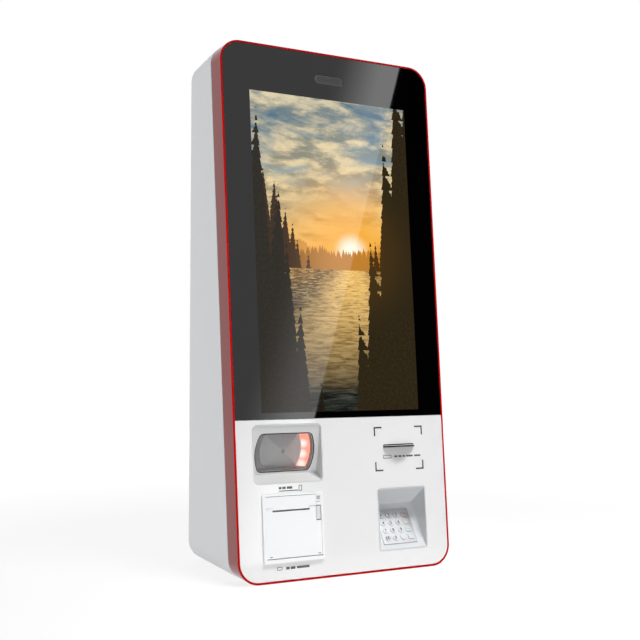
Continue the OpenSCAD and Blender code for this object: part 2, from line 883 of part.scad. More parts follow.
module feed_button() {
    color("#d9dadb") {
        face_plate(cover_d - 0.5, cover_d + cover_t + 0.4) translate([button_x, button_u])
            rounded(button_side, button_side, 1);
        face_plate(cover_d + cover_t + 0.3, cover_d + cover_t + 1.5) translate([button_x, button_u])
            square(button_side + 1.4, center = true);
    }
}

// Card reader

module card_mouth() {
    color("#77797c") difference() {
        union() {
            face_plate(glass_d - card_out, frame_d + 2) card_cut(0);
            face_plate(frame_d, frame_d + 2) translate([card_x, card_u]) rounded(104, 26, 3);
        }
        face_plate(glass_d - card_out - 1, frame_d + 3) translate([card_x, card_u]) stadium(slot_w, slot_h);
    }
}

module card_reader() {
    color("#2e3032") difference() {
        union() {
            face_plate(frame_d + 2, frame_d + 112) translate([card_x, card_u]) rounded(92, 26, 3);
            face_plate(frame_d + 30, frame_d + 96) translate([card_x, card_u + 14]) rounded(70, 10, 2);
        }
        face_plate(frame_d + 1, frame_d + 92) translate([card_x, card_u])
            square([slot_w, slot_h], center = true);
    }
}

// Pin pad

// Inside of the hooded recess, seen from the side
pad_profile = [
    [-2, pad_bottom], [floor_d, pad_bottom], apex, [glass_d, pad_top], [-2, pad_top]
];

module keypad_hood() {
    tip = moved_corner(apex, [glass_d, pad_top], [floor_d, pad_bottom], hood_t);
    color("#d3d5d7") face_plate(frame_d, rim_d) difference() {
        pad_cut(hood_t + rim_w);
        pad_cut(hood_t);
    }
    color("#d3d5d7") difference() {
        intersection() {
            face_plate(glass_d, reach / 4) pad_cut(hood_t);
            side_plate(pad_x - pad_w / 2 - hood_t, pad_x + pad_w / 2 + hood_t)
                polygon([[glass_d, pad_bottom - hood_t], [floor_d + hood_lap, pad_bottom - hood_t], tip,
                    [glass_d + 0.6, pad_top + hood_t], [glass_d, pad_top + hood_t]]);
        }
        intersection() {
            face_plate(-2, reach / 4) pad_cut(0);
            side_plate(pad_x - pad_w / 2, pad_x + pad_w / 2) polygon(pad_profile);
        }
        on_pad(plate_x) translate([0, 0, plate_s]) sunk(-1, hood_t + 1)
            square([well_w, well_h], center = true);
    }
}

// Places of the sixteen keys: column, row counted from the bottom
function key_place(col, row) = [(col - 1.5) * key_pitch_x, (row - 1.5) * key_pitch_s];

module key_outline(square_key, grow) {
    if (square_key) rounded(key_w + 2 * grow, key_h + 2 * grow, 2 + grow);
    else circle(key_r + grow);
}

module keypad_plate() {
    color("#c2c5c8") on_pad(plate_x) translate([0, 0, plate_s]) sunk(-plate_t, 0) difference() {
        rounded(plate_w, plate_h, 2);
        for (col = [0 : 3], row = [0 : 3]) translate(key_place(col, row)) key_outline(col == 3, key_gap);
    }
}

module keypad_base() {
    color("#3a3d40") on_pad(plate_x) translate([0, 0, plate_s]) difference() {
        sunk(hood_t, hood_t + 22) rounded(plate_w + 4, plate_h + 2, 3);
        sunk(hood_t - 1, key_travel + 4.5) square([well_w, well_h], center = true);
    }
}

module pad_key(col, row) {
    place = key_place(col, row);
    on_pad(plate_x) translate([place[0], 0, plate_s + place[1]]) {
        sunk(-plate_t - key_proud, 0.4) key_outline(col == 3, 0);
        sunk(key_gap, 1.8) key_outline(col == 3, 1);
    }
}

module key_1() { color("#cfd2d4") pad_key(0, 3); }
module key_2() { color("#cfd2d4") pad_key(1, 3); }
module key_3() { color("#cfd2d4") pad_key(2, 3); }
module key_cancel() { color("#cfd2d4") pad_key(3, 3); }
module key_4() { color("#cfd2d4") pad_key(0, 2); }
module key_5() { color("#cfd2d4") pad_key(1, 2); }
module key_6() { color("#cfd2d4") pad_key(2, 2); }
module key_clear() { color("#cfd2d4") pad_key(3, 2); }
module key_7() { color("#cfd2d4") pad_key(0, 1); }
module key_8() { color("#cfd2d4") pad_key(1, 1); }
module key_9() { color("#cfd2d4") pad_key(2, 1); }
module key_enter() { color("#cfd2d4") pad_key(3, 1); }
module key_sign() { color("#cfd2d4") pad_key(0, 0); }
module key_0() { color("#cfd2d4") pad_key(1, 0); }
module key_dot() { color("#cfd2d4") pad_key(2, 0); }
module key_blank() { color("#cfd2d4") pad_key(3, 0); }

cabinet_shell();
back_panel();
hinge_brackets();
hinge_pins();
power_supply();
computer_box();
power_inlet();
power_rocker();
lock_body();
lock_plug();
lock_cam();
trim_frame();
door_frame();
hinge_arms();
lock_strike();
cover_glass();
lower_fascia();
display_panel();
display_back();
speaker_grille();
speaker();
scanner_tray();
scanner_window();
scanner_reflector();
scanner_led_bars();
scanner_body();
printer_bezel();
printer_cover();
printer_bucket();
print_head();
tear_blade();
feed_motor();
drive_gear();
printer_door();
platen_shaft();
platen_roller();
platen_gear();
open_lever();
feed_button();
card_mouth();
card_reader();
keypad_hood();
keypad_plate();
keypad_base();
key_1();
key_2();
key_3();
key_cancel();
key_4();
key_5();
key_6();
key_clear();
key_7();
key_8();
key_9();
key_enter();
key_sign();
key_0();
key_dot();
key_blank();
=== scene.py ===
"""Looks of a wall payment kiosk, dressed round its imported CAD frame.

Metres, +Z up, front towards -Y. Sizes of the kiosk are written in millimetres and turned to metres where a mesh
or a material is made. Sizes of the studio are written in metres.
"""

import logging
import math
from dataclasses import dataclass, replace
from enum import Enum

import bmesh
import bpy
from mathutils import Matrix, Vector


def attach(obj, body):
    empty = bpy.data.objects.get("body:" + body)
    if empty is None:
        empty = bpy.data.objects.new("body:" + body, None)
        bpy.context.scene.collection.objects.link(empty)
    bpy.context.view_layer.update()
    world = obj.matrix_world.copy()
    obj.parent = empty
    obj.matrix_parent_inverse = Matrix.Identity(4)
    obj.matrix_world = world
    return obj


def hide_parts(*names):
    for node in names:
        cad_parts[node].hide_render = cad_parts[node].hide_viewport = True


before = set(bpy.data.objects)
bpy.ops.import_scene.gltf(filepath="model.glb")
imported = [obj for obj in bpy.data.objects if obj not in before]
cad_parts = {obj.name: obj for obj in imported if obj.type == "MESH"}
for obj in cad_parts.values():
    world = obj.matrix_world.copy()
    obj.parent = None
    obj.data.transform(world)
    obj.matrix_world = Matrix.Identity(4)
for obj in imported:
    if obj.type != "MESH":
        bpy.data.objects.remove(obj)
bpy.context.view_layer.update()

LOG = logging.getLogger("kiosk")
MM = 0.001

Rgba = tuple[float, float, float, float]
Point2 = tuple[float, float]
Point3 = tuple[float, float, float]
Outline = list[Point2]
# Middle across, middle up the lean, width and height
Bar = tuple[float, float, float, float]
# Width, height, corner radius, middle across and middle up the lean
Opening = tuple[float, float, float, float, float]

WHITE: Rgba = (1.0, 1.0, 1.0, 1.0)
# Black painted as shade into slots and gaps
SHADE_BLACK = "#060607"
# Thickness of printed ink and radius of its edge, in millimetres
INK = 0.06
INK_EDGE = 0.01
# Length over which a finish's tone drifts, in millimetres
DRIFT = 1000 / 9
# A brush line is this many times as long as it is wide
BRUSH_STRETCH = 40
# Share by which roughness follows the grain, and the range of the sum of grain and drift
ROUGH_DRIFT = 0.12
NOISE_SUM: dict[str, float] = {"From Min": 0.6, "From Max": 1.4}
# Lit picture on the display, in millimetres
PICTURE_WIDE = 392.9
PICTURE_TALL = 698.4


def linear(hex_colour: str) -> Rgba:
    """Turns an sRGB hex colour to linear light.

    Args:
        hex_colour: six hex digits with a leading hash.

    Returns:
        Linear red, green, blue and an alpha of 1.
    """
    parts = [int(hex_colour[i : i + 2], 16) / 255 for i in (1, 3, 5)]
    red, green, blue = (c / 12.92 if c <= 0.04045 else ((c + 0.055) / 1.055) ** 2.4 for c in parts)
    return red, green, blue, 1.0


def add(
    tree: bpy.types.NodeTree,
    kind: str,
    inputs: dict[int | str, object] | None = None,
    stops: tuple[tuple[float, str], ...] = (),
    **settings: object,
) -> bpy.types.Node:
    """Adds one shader node with its settings and links.

    Args:
        tree: the node tree that takes the node.
        kind: Blender's name of the node type.
        inputs: a value or a socket to link, for each input by name or place.
        stops: place and hex colour of each stop of a ramp, in order.
        settings: properties of the node itself.

    Returns:
        The new node.
    """
    node = tree.nodes.new(kind)
    for number, (place, hex_colour) in enumerate(stops):
        elements = node.color_ramp.elements
        element = elements[number] if number < len(elements) else elements.new(place)
        element.position = place
        element.color = linear(hex_colour)
    for name, value in settings.items():
        setattr(node, name, value)
    for key, value in (inputs or {}).items():
        if isinstance(value, bpy.types.NodeSocket):
            tree.links.new(value, node.inputs[key])
        else:
            node.inputs[key].default_value = value
    return node


def new_tree(name: str) -> tuple[bpy.types.Material, bpy.types.NodeTree]:
    """Makes an empty node material.

    Args:
        name: the material's name.

    Returns:
        The material and its cleared node tree.
    """
    material = bpy.data.materials.new(name)
    material.use_nodes = True
    material.node_tree.nodes.clear()
    return material, material.node_tree


class Surface(Enum):
    """How a surface was made."""

    POWDER = "powder coated"
    MOULDED = "moulded"
    ENAMEL = "sprayed enamel"
    BRUSHED = "brushed"
    PLATED = "plated"
    CAST = "cast"


@dataclass(frozen=True)
class Finish:
    """One real finish, with typical optical values.

    Grain is the real size of the surface's pattern in millimetres, tone the share by which its colour drifts.
    Shade patches are black painted where a slot or gap lies in shade: x, u, width and height of each on the leaning
    front.
    """

    name: str
    colour: str
    surface: Surface
    roughness: float
    grain: float
    bump: float = 0.1
    tone: float = 0.03
    metallic: float = 0.0
    ior: float = 1.5
    shade_patches: tuple[Bar, ...] = ()

    def paint_shade(
        self, tree: bpy.types.NodeTree, place: bpy.types.NodeSocket, colour: bpy.types.NodeSocket
    ) -> bpy.types.NodeSocket:
        """Paints the black shade patches into the colour.

        Args:
            tree: the material's tree.
            place: the surface's point in the row frame.
            colour: the colour round the painted shade.

        Returns:
            The colour with the painted shade in it.
        """
        x = add(tree, "ShaderNodeSeparateXYZ", {0: place}).outputs["X"]
        u = LEAN.rise(tree, place)
        for middle_x, middle_u, width, height in self.shade_patches:
            across = add(
                tree, "ShaderNodeMath", {0: x, 1: middle_x * MM, 2: width / 2 * MM}, operation="COMPARE"
            ).outputs[0]
            along = add(
                tree, "ShaderNodeMath", {0: u, 1: middle_u * MM, 2: height / 2 * MM}, operation="COMPARE"
            ).outputs[0]
            inside = add(tree, "ShaderNodeMath", {0: across, 1: along}, operation="MULTIPLY").outputs[0]
            colour = add(
                tree, "ShaderNodeMix", {0: inside, 6: colour, 7: linear(SHADE_BLACK)}, data_type="RGBA"
            ).outputs[2]
        return colour

    def material(self) -> bpy.types.Material:
        """Builds the node material, once for each finish.

        Returns:
            The material.
        """
        found = bpy.data.materials.get(self.name)
        if found is not None:
            return found
        material, tree = new_tree(self.name)
        place = add(tree, "ShaderNodeTexCoord").outputs["Object"]
        fine = 1 / (self.grain * MM)
        scale = [fine, fine, fine]
        if self.surface is Surface.BRUSHED:
            scale[0] = fine / BRUSH_STRETCH
        spread = add(tree, "ShaderNodeMapping", {"Vector": place, "Scale": scale})
        grain = add(tree, "ShaderNodeTexNoise", {"Vector": spread.outputs[0], "Scale": 1.0, "Detail": 4.0})
        drift = add(tree, "ShaderNodeTexNoise", {"Vector": place, "Scale": 1 / (DRIFT * MM), "Detail": 3.0})
        base = linear(self.colour)
        low = [c * (1 - self.tone) for c in base[:3]] + [1.0]
        high = [min(1.0, c * (1 + self.tone)) for c in base[:3]] + [1.0]
        mixed = add(tree, "ShaderNodeMath", {0: grain.outputs[0], 1: drift.outputs[0]}, operation="ADD")
        share = add(tree, "ShaderNodeMapRange", {"Value": mixed.outputs[0], **NOISE_SUM})
        colour = add(tree, "ShaderNodeMix", {0: share.outputs[0], 6: low, 7: high}, data_type="RGBA").outputs[2]
        if self.shade_patches:
            colour = self.paint_shade(tree, place, colour)
        rough = add(
            tree,
            "ShaderNodeMapRange",
            {
                "Value": mixed.outputs[0],
                **NOISE_SUM,
                "To Min": self.roughness * (1 - ROUGH_DRIFT),
                "To Max": min(1.0, self.roughness * (1 + ROUGH_DRIFT)),
            },
        )
        bump = add(
            tree,
            "ShaderNodeBump",
            {"Height": grain.outputs[0], "Strength": self.bump, "Distance": self.grain * MM * 0.25},
        )
        shader = add(
            tree,
            "ShaderNodeBsdfPrincipled",
            {
                "Base Color": colour,
                "Roughness": rough.outputs[0],
                "Normal": bump.outputs[0],
                "Metallic": self.metallic,
                "IOR": self.ior,
            },
        )
        add(tree, "ShaderNodeOutputMaterial", {"Surface": shader.outputs[0]})
        return material


# Powder coat over folded steel: even, faintly pebbled, soft sheen
CABINET_COAT = Finish("powder_coat_light_grey", "#e3e5e7", Surface.POWDER, 0.46, 1.1, 0.12, 0.02)
REAR_COAT = Finish("powder_coat_rear_grey", "#cfd2d4", Surface.POWDER, 0.5, 1.1, 0.14, 0.03)
# Sprayed gloss coat over a steel panel: nearly white, even, and smooth enough to mirror a lamp's edge
FASCIA_COAT = Finish("gloss_coat_white_steel", "#f3f3f3", Surface.ENAMEL, 0.05, 2.6, 0.004, 0.004)
# Satin coat of the pin pad's hood: pale grey and even, with a soft sheen
HOOD_COAT = Finish("satin_coat_grey_steel", "#d4d6d8", Surface.ENAMEL, 0.4, 2.0, 0.05, 0.02)
# Zinc plated sheet: bluish grey metal with a cloudy sheen
ZINC = Finish("zinc_plated_sheet", "#b9bec2", Surface.PLATED, 0.36, 3.0, 0.06, 0.08, 1.0)
# Chromed die casting: bright and smooth
CHROME = Finish("chromed_zamak", "#d9dadb", Surface.PLATED, 0.12, 2.0, 0.02, 0.02, 1.0)
# Folded aluminium: pale satin metal with a rolling direction
FOLDED_ALUMINIUM = Finish("rolled_aluminium_sheet", "#c3c6c9", Surface.BRUSHED, 0.38, 0.7, 0.1, 0.06, 1.0)
# Black anodised aluminium: dark satin metal
BLACK_ANODISED = Finish("black_anodised_aluminium", "#26282b", Surface.CAST, 0.42, 0.8, 0.1, 0.08, 0.7)
# Moulded black nylon: matte with a fine spark texture
BLACK_NYLON = Finish("moulded_black_nylon", "#191a1c", Surface.MOULDED, 0.55, 0.6, 0.16, 0.08, 0.0, 1.53)
# Moulded red polycarbonate: even red with a clear gloss
RED_SWITCH = Finish("moulded_red_polycarbonate", "#b5161b", Surface.MOULDED, 0.28, 0.8, 0.05, 0.05, 0.0, 1.58)
# Moulded grey ABS of the grille: dark and matte
GRILLE_ABS = Finish("moulded_grey_abs", "#343435", Surface.MOULDED, 0.5, 0.5, 0.12, 0.04, 0.0, 1.53)
# Moulded pale ABS of the scanner's tray: satin, a shade darker than the panel
TRAY_ABS = Finish("moulded_pale_abs", "#dcdddd", Surface.MOULDED, 0.42, 0.7, 0.06, 0.015, 0.0, 1.53)
# Moulded white ABS: satin, finely sparked, very slightly cool
PRINTER_ABS = Finish("moulded_white_abs", "#fafbfd", Surface.MOULDED, 0.38, 0.6, 0.05, 0.008, 0.0, 1.53)
# The same moulding, painted black as shade along the paper slot and at the hinge gaps at the door's foot
SHELL_ABS = replace(
    PRINTER_ABS,
    name="white_abs_painted_slot_shade",
    shade_patches=((-138.1, 150.1, 87.0, 3.4), (-188.0, 55.2, 6.0, 1.5), (-74.5, 55.2, 6.0, 1.5)),
)
# Moulded light grey ABS: satin, a shade darker than the printer's shell
LEVER_ABS = Finish("moulded_light_grey_abs", "#dfe1e3", Surface.MOULDED, 0.34, 0.6, 0.05, 0.02, 0.0, 1.53)
# Moulded dark grey ABS: dull, so that the paper bay looks deep
TUB_ABS = Finish("moulded_dark_grey_abs", "#46494c", Surface.MOULDED, 0.52, 0.7, 0.14, 0.05, 0.0, 1.53)
# Cast aluminium: warm grey metal with a coarse skin
HEAD_ALUMINIUM = Finish("cast_aluminium_heat_sink", "#b5b0a6", Surface.CAST, 0.46, 0.8, 0.2, 0.08, 1.0)
# Ground stainless steel: bright metal with fine grinding lines
GROUND_STEEL = Finish("ground_stainless_steel", "#c9ccce", Surface.BRUSHED, 0.26, 0.5, 0.08, 0.05, 1.0)
# Moulded acetal: cream, waxy, slightly rough
ACETAL = Finish("moulded_acetal", "#e4dfd0", Surface.MOULDED, 0.4, 0.8, 0.06, 0.03, 0.0, 1.48)
# Ground nitrile rubber: nearly black and dull
PLATEN_RUBBER = Finish("ground_nitrile_rubber", "#262728", Surface.MOULDED, 0.78, 0.4, 0.2, 0.08, 0.0, 1.52)
# Moulded silicone gasket: dark and dull
GASKET_RUBBER = Finish("moulded_silicone_rubber", "#232324", Surface.MOULDED, 0.6, 0.5, 0.12, 0.06, 0.0, 1.43)
# Brushed stainless plate and keys: bright metal with fine lines along the plate
PLATE_STEEL = Finish("brushed_stainless_plate", "#b6b8ba", Surface.BRUSHED, 0.3, 0.35, 0.1, 0.05, 1.0)
KEY_STEEL = Finish("brushed_stainless_key", "#bcbec0", Surface.BRUSHED, 0.3, 0.35, 0.08, 0.04, 1.0)
# Cured screen-print ink: dark grey and matte
PRINT_INK = Finish("screen_print_ink_grey", "#1c1d1e", Surface.ENAMEL, 0.6, 0.9, 0.08, 0.06)
# Thinner pass of the same ink for the labels: mid grey, so the bars look like lines of small print
LABEL_INK = Finish("screen_print_ink_pale", "#56575a", Surface.ENAMEL, 0.6, 0.9, 0.08, 0.06)
# Ink in the etched key tops: dark and matte
LEGEND_INK = Finish("etched_legend_ink", "#2a2b2d", Surface.ENAMEL, 0.6, 0.6, 0.05, 0.05)
# Coated lens: smooth grey glass
LENS_GREY = Finish("coated_lens_glass_grey", "#a6a6a6", Surface.MOULDED, 0.2, 0.9, 0.02, 0.03, 0.0, 1.52)
# Epoxy fill of the command keys: clear colours with a soft gloss
RED_BAR = Finish("epoxy_fill_red", "#e0503c", Surface.ENAMEL, 0.35, 0.8, 0.04, 0.04)
YELLOW_BAR = Finish("epoxy_fill_yellow", "#e6c33a", Surface.ENAMEL, 0.35, 0.8, 0.04, 0.04)
GREEN_BAR = Finish("epoxy_fill_green", "#67cf86", Surface.ENAMEL, 0.35, 0.8, 0.04, 0.04)


@dataclass(frozen=True)
class Lean:
    """Leaning front of the kiosk: x across, d into the cabinet, u up the lean, all in millimetres."""

    width: float = 524.0
    height: float = 1154.0
    depth_top: float = 170.0
    depth_base: float = 298.0
    corner: float = 47.0

    @property
    def tilt(self) -> float:
        """Angle of the front against upright, in radians."""
        return math.atan((self.depth_base - self.depth_top) / self.height)

    @property
    def matrix(self) -> Matrix:
        """Front frame in millimetres to the row frame in metres."""
        place = Matrix.Translation((0, -self.depth_base / 2 * MM, 0))
        return place @ Matrix.Rotation(-self.tilt, 4, "X") @ Matrix.Scale(MM, 4)

    def on_plane(self, x: float, z: float, depth: float) -> Vector:
        """Row-frame point of an upright outline on the plane at a depth of the front.

        Args:
            x: place across, in millimetres.
            z: upright height, in millimetres.
            depth: depth of the leaning plane, in millimetres.

        Returns:
            The point in metres.
        """
        y = -self.depth_base / 2 + (depth + z * math.sin(self.tilt)) / math.cos(self.tilt)
        return Vector((x, y, z)) * MM

    def rise(self, tree: bpy.types.NodeTree, place: bpy.types.NodeSocket) -> bpy.types.NodeSocket:
        """Height along the lean, in metres, for a material.

        Args:
            tree: the material's tree.
            place: the surface's point in the row frame.

        Returns:
            The height's socket.
        """
        foot = (0, self.depth_base / 2 * MM, 0)
        base = add(tree, "ShaderNodeVectorMath", {0: place, 1: foot}, operation="ADD").outputs[0]
        up = (0, math.sin(self.tilt), math.cos(self.tilt))
        return add(tree, "ShaderNodeVectorMath", {0: base, 1: up}, operation="DOT_PRODUCT").outputs["Value"]

    def up(self, z: float, depth: float) -> float:
        """Height along the lean of an upright height on the plane at a depth."""
        return (z + depth * math.sin(self.tilt)) / math.cos(self.tilt)


LEAN = Lean()
# Opening of the card mouth in the white panel
MOUTH: Opening = (80.8, 7.0, 3.4, 138.2, 276.3)


def tilted(edge: Point3, angle: float, middle: float) -> Matrix:
    """Frame of a plate that is tilted about an edge near the leaning front.

    Args:
        edge: the edge's x, d and u, in millimetres.
        angle: the tilt in degrees.
        middle: height of the plate's middle over the edge, in millimetres.

    Returns:
        The plate's frame in millimetres to the row frame in metres.
    """
    turn = Matrix.Rotation(math.radians(angle), 4, "X")
    return LEAN.matrix @ Matrix.Translation(edge) @ turn @ Matrix.Translation((0, 0, middle))


# The scanner's window hangs from its upper edge, the pin pad's plate stands on its lower edge
SCANNER = tilted((-137.6, 2.2, 329.55), 15.6, -59.7)
PIN_PAD = tilted((138.0, 2.7, 46.65), -30.5, 54.0)


def rounded(width: float, height: float, radius: float, x: float = 0.0, y: float = 0.0, steps: int = 10) -> Outline:
    """Rounded rectangle, counter-clockwise.

    Args:
        width: size across.
        height: size up.
        radius: corner radius.
        x: middle across.
        y: middle up.
        steps: straight pieces in each corner.

    Returns:
        The outline's points.
    """
    points = []
    for quarter, (sx, sy) in enumerate(((1, -1), (1, 1), (-1, 1), (-1, -1))):
        for i in range(steps + 1):
            angle = math.radians(-90 + 90 * quarter + 90 * i / steps)
            points.append(
                (
                    x + sx * (width / 2 - radius) + radius * math.cos(angle),
                    y + sy * (height / 2 - radius) + radius * math.sin(angle),
                )
            )
    return points


def finish_mesh(mesh: bpy.types.Mesh, sharp: float) -> None:
    """Shades a mesh smooth, with edges over an angle kept sharp.

    Args:
        mesh: the mesh.
        sharp: the angle in degrees.
    """
    mesh.polygons.foreach_set("use_smooth", [True] * len(mesh.polygons))
    mesh.set_sharp_from_angle(angle=math.radians(sharp))


def piece(
    name: str,
    mesh: bpy.types.Mesh,
    material: bpy.types.Material,
    body: str,
    stands_for: tuple[str, ...] = (),
) -> bpy.types.Object:
    """Makes one visible piece that rides on a CAD body.

    Args:
        name: the piece's name.
        mesh: its mesh, in the row frame.
        material: its material.
        body: the CAD body that it moves with.
        stands_for: CAD nodes that it replaces.

    Returns:
        The new object.
    """
    obj = bpy.data.objects.new(name, mesh)
    mesh.materials.clear()
    mesh.materials.append(material)
    bpy.context.scene.collection.objects.link(obj)
    even = obj.modifiers.new("even_normals", "WEIGHTED_NORMAL")
    even.keep_sharp = True
    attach(obj, body)
    if stands_for:
        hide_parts(*stands_for)
    LOG.info("piece %s on %s", name, body)
    return obj


def plate_mesh(
    name: str, outlines: list[Outline], front: float, back: float, edge: float, place: Matrix
) -> bpy.types.Mesh:
    """Plate with holes and rounded edges, between two depths of a frame.

    Args:
        name: the mesh's name.
        outlines: the outer outline, then its holes, as points across and up in millimetres.
        front: depth of the front face.
        back: depth of the back face.
        edge: radius of the rounded edges.
        place: the frame's matrix to the row frame.

    Returns:
        The mesh in the row frame.
    """
    curve = bpy.data.curves.new(name, "CURVE")
    curve.dimensions = "2D"
    curve.fill_mode = "BOTH"
    curve.extrude = max(0.0, (back - front) / 2 - edge)
    curve.bevel_depth = edge
    curve.bevel_resolution = 2
    curve.offset = -edge
    for number, outline in enumerate(outlines):
        points = outline if number == 0 else outline[::-1]
        spline = curve.splines.new("POLY")
        spline.points.add(len(points) - 1)
        for target, (x, y) in zip(spline.points, points):
            target.co = (x, y, 0, 1)
        spline.use_cyclic_u = True
    holder = bpy.data.objects.new(name, curve)
    bpy.context.scene.collection.objects.link(holder)
    mesh = bpy.data.meshes.new_from_object(holder.evaluated_get(bpy.context.evaluated_depsgraph_get()))
    bpy.data.objects.remove(holder)
    bpy.data.curves.remove(curve)
    mesh.name = name
    upright = Matrix.Translation((0, (front + back) / 2, 0)) @ Matrix.Rotation(math.radians(90), 4, "X")
    mesh.transform(place @ upright)
    solid = bmesh.new()
    solid.from_mesh(mesh)
    bmesh.ops.remove_doubles(solid, verts=solid.verts, dist=0.002 * MM)
    bmesh.ops.recalc_face_normals(solid, faces=solid.faces)
    solid.to_mesh(mesh)
    solid.free()
    finish_mesh(mesh, sharp=50)
    # The two flat faces are shaded flat, and only the edges round
    outward = (place.to_3x3() @ Vector((0, 1, 0))).normalized()
    for face in mesh.polygons:
        face.use_smooth = abs(face.normal.dot(outward)) < 0.999
    return mesh


def ring_mesh(name: str, loops: list[list[Vector]], closed: bool) -> bpy.types.Mesh:
    """Skin over closed loops of equal length.

    Args:
        name: the mesh's name.
        loops: rings of points in the row frame.
        closed: True joins the last loop to the first, False caps both ends.

    Returns:
        The mesh.
    """
    skin = bmesh.new()
    rings = [[skin.verts.new(p) for p in loop] for loop in loops]
    pairs = list(zip(rings, rings[1:])) + ([(rings[-1], rings[0])] if closed else [])
    for near, far in pairs:
        for i in range(len(near)):
            j = (i + 1) % len(near)
            skin.faces.new((near[i], near[j], far[j], far[i]))
    if not closed:
        skin.faces.new(rings[0])
        skin.faces.new(rings[-1][::-1])
    bmesh.ops.recalc_face_normals(skin, faces=skin.faces)
    mesh = bpy.data.meshes.new(name)
    skin.to_mesh(mesh)
    skin.free()
    finish_mesh(mesh, sharp=40)
    return mesh


def round_edges(obj: bpy.types.Object, edge: float, segments: int) -> None:
    """Gives an object real rounded edges.

    Args:
        obj: the object.
        edge: radius of the edges in millimetres.
        segments: faces across each edge.
    """
    weld = obj.modifiers.new("weld", "WELD")
    weld.merge_threshold = 0.004 * MM
    flat = obj.modifiers.new("flat_faces", "DECIMATE")
    flat.decimate_type = "DISSOLVE"
    flat.angle_limit = math.radians(1.0)
    bevel = obj.modifiers.new("edges", "BEVEL")
    bevel.width = edge * MM
    bevel.segments = segments
    bevel.limit_method = "ANGLE"
    bevel.angle_limit = math.radians(32)
    bevel.miter_outer = "MITER_ARC"
    even = obj.modifiers.new("even_edges", "WEIGHTED_NORMAL")
    even.keep_sharp = True


def dress(node: str, finish: Finish | bpy.types.Material, edge: float = 0.0, segments: int = 2) -> None:
    """Gives a CAD node its material and real rounded edges.

    Args:
        node: the node's name.
        finish: the finish, or a material of its own.
        edge: radius of the rounded edges in millimetres, 0 for none.
        segments: faces across each rounded edge.
    """
    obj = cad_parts[node]
    obj.data.materials.clear()
    obj.data.materials.append(finish.material() if isinstance(finish, Finish) else finish)
    if edge:
        round_edges(obj, edge, segments)
    LOG.info("node %s dressed", node)


@dataclass(frozen=True)
class TrimEnamel:
    """Enamel in two reds: a bright, softly shining lip, painted darker towards its foot as shade, and a deeper side
    band under a smooth clear coat.
    """

    name: str = "sprayed_enamel_two_reds"
    lip: str = "#ea2024"
    lip_painted_shade: str = "#c00a0d"
    band: str = "#8b2421"
    change: float = 1.7
    blend: float = 0.5
    peel: float = 2.4
    roughness: float = 0.3

    def material(self) -> bpy.types.Material:
        """Builds the node material.

        Returns:
            The material.
        """
        material, tree = new_tree(self.name)
        place = add(tree, "ShaderNodeTexCoord").outputs["Object"]
        from_lip = add(
            tree, "ShaderNodeVectorMath", {0: place, 1: (0, LEAN.depth_base / 2 * MM, 0)}, operation="ADD"
        )
        inward = (0, math.cos(LEAN.tilt), -math.sin(LEAN.tilt))
        depth = add(tree, "ShaderNodeVectorMath", {0: from_lip.outputs[0], 1: inward}, operation="DOT_PRODUCT")
        side = add(
            tree,
            "ShaderNodeMapRange",
            {
                "Value": depth.outputs["Value"],
                "From Min": self.change * MM,
                "From Max": (self.change + self.blend) * MM,
            },
        )
        height = add(tree, "ShaderNodeSeparateXYZ", {0: place}).outputs["Z"]
        rise = add(tree, "ShaderNodeMapRange", {"Value": height, "From Min": 0.0, "From Max": LEAN.height * MM})
        # Painted shade: the lip's red darkens from the top down to its foot
        lip = add(
            tree,
            "ShaderNodeMix",
            {0: rise.outputs[0], 6: linear(self.lip_painted_shade), 7: linear(self.lip)},
            data_type="RGBA",
        )
        colour = add(
            tree, "ShaderNodeMix", {0: side.outputs[0], 6: lip.outputs[2], 7: linear(self.band)}, data_type="RGBA"
        )
        peel = add(tree, "ShaderNodeTexNoise", {"Vector": place, "Scale": 1 / (self.peel * MM), "Detail": 2.0})
        bump = add(
            tree, "ShaderNodeBump", {"Height": peel.outputs[0], "Strength": 0.03, "Distance": 0.2 * MM}
        )
        rough = add(
            tree,
            "ShaderNodeMapRange",
            {"Value": peel.outputs[0], "To Min": self.roughness * 0.8, "To Max": self.roughness * 1.2},
        )
        shader = add(
            tree,
            "ShaderNodeBsdfPrincipled",
            {
                "Base Color": colour.outputs[2],
                "Roughness": rough.outputs[0],
                "Normal": bump.outputs[0],
                "IOR": 1.5,
                "Specular IOR Level": 0.0,
                "Coat Weight": side.outputs[0],
                "Coat Roughness": 0.08,
                "Coat IOR": 1.33,
            },
        )
        add(tree, "ShaderNodeOutputMaterial", {"Surface": shader.outputs[0]})
        return material


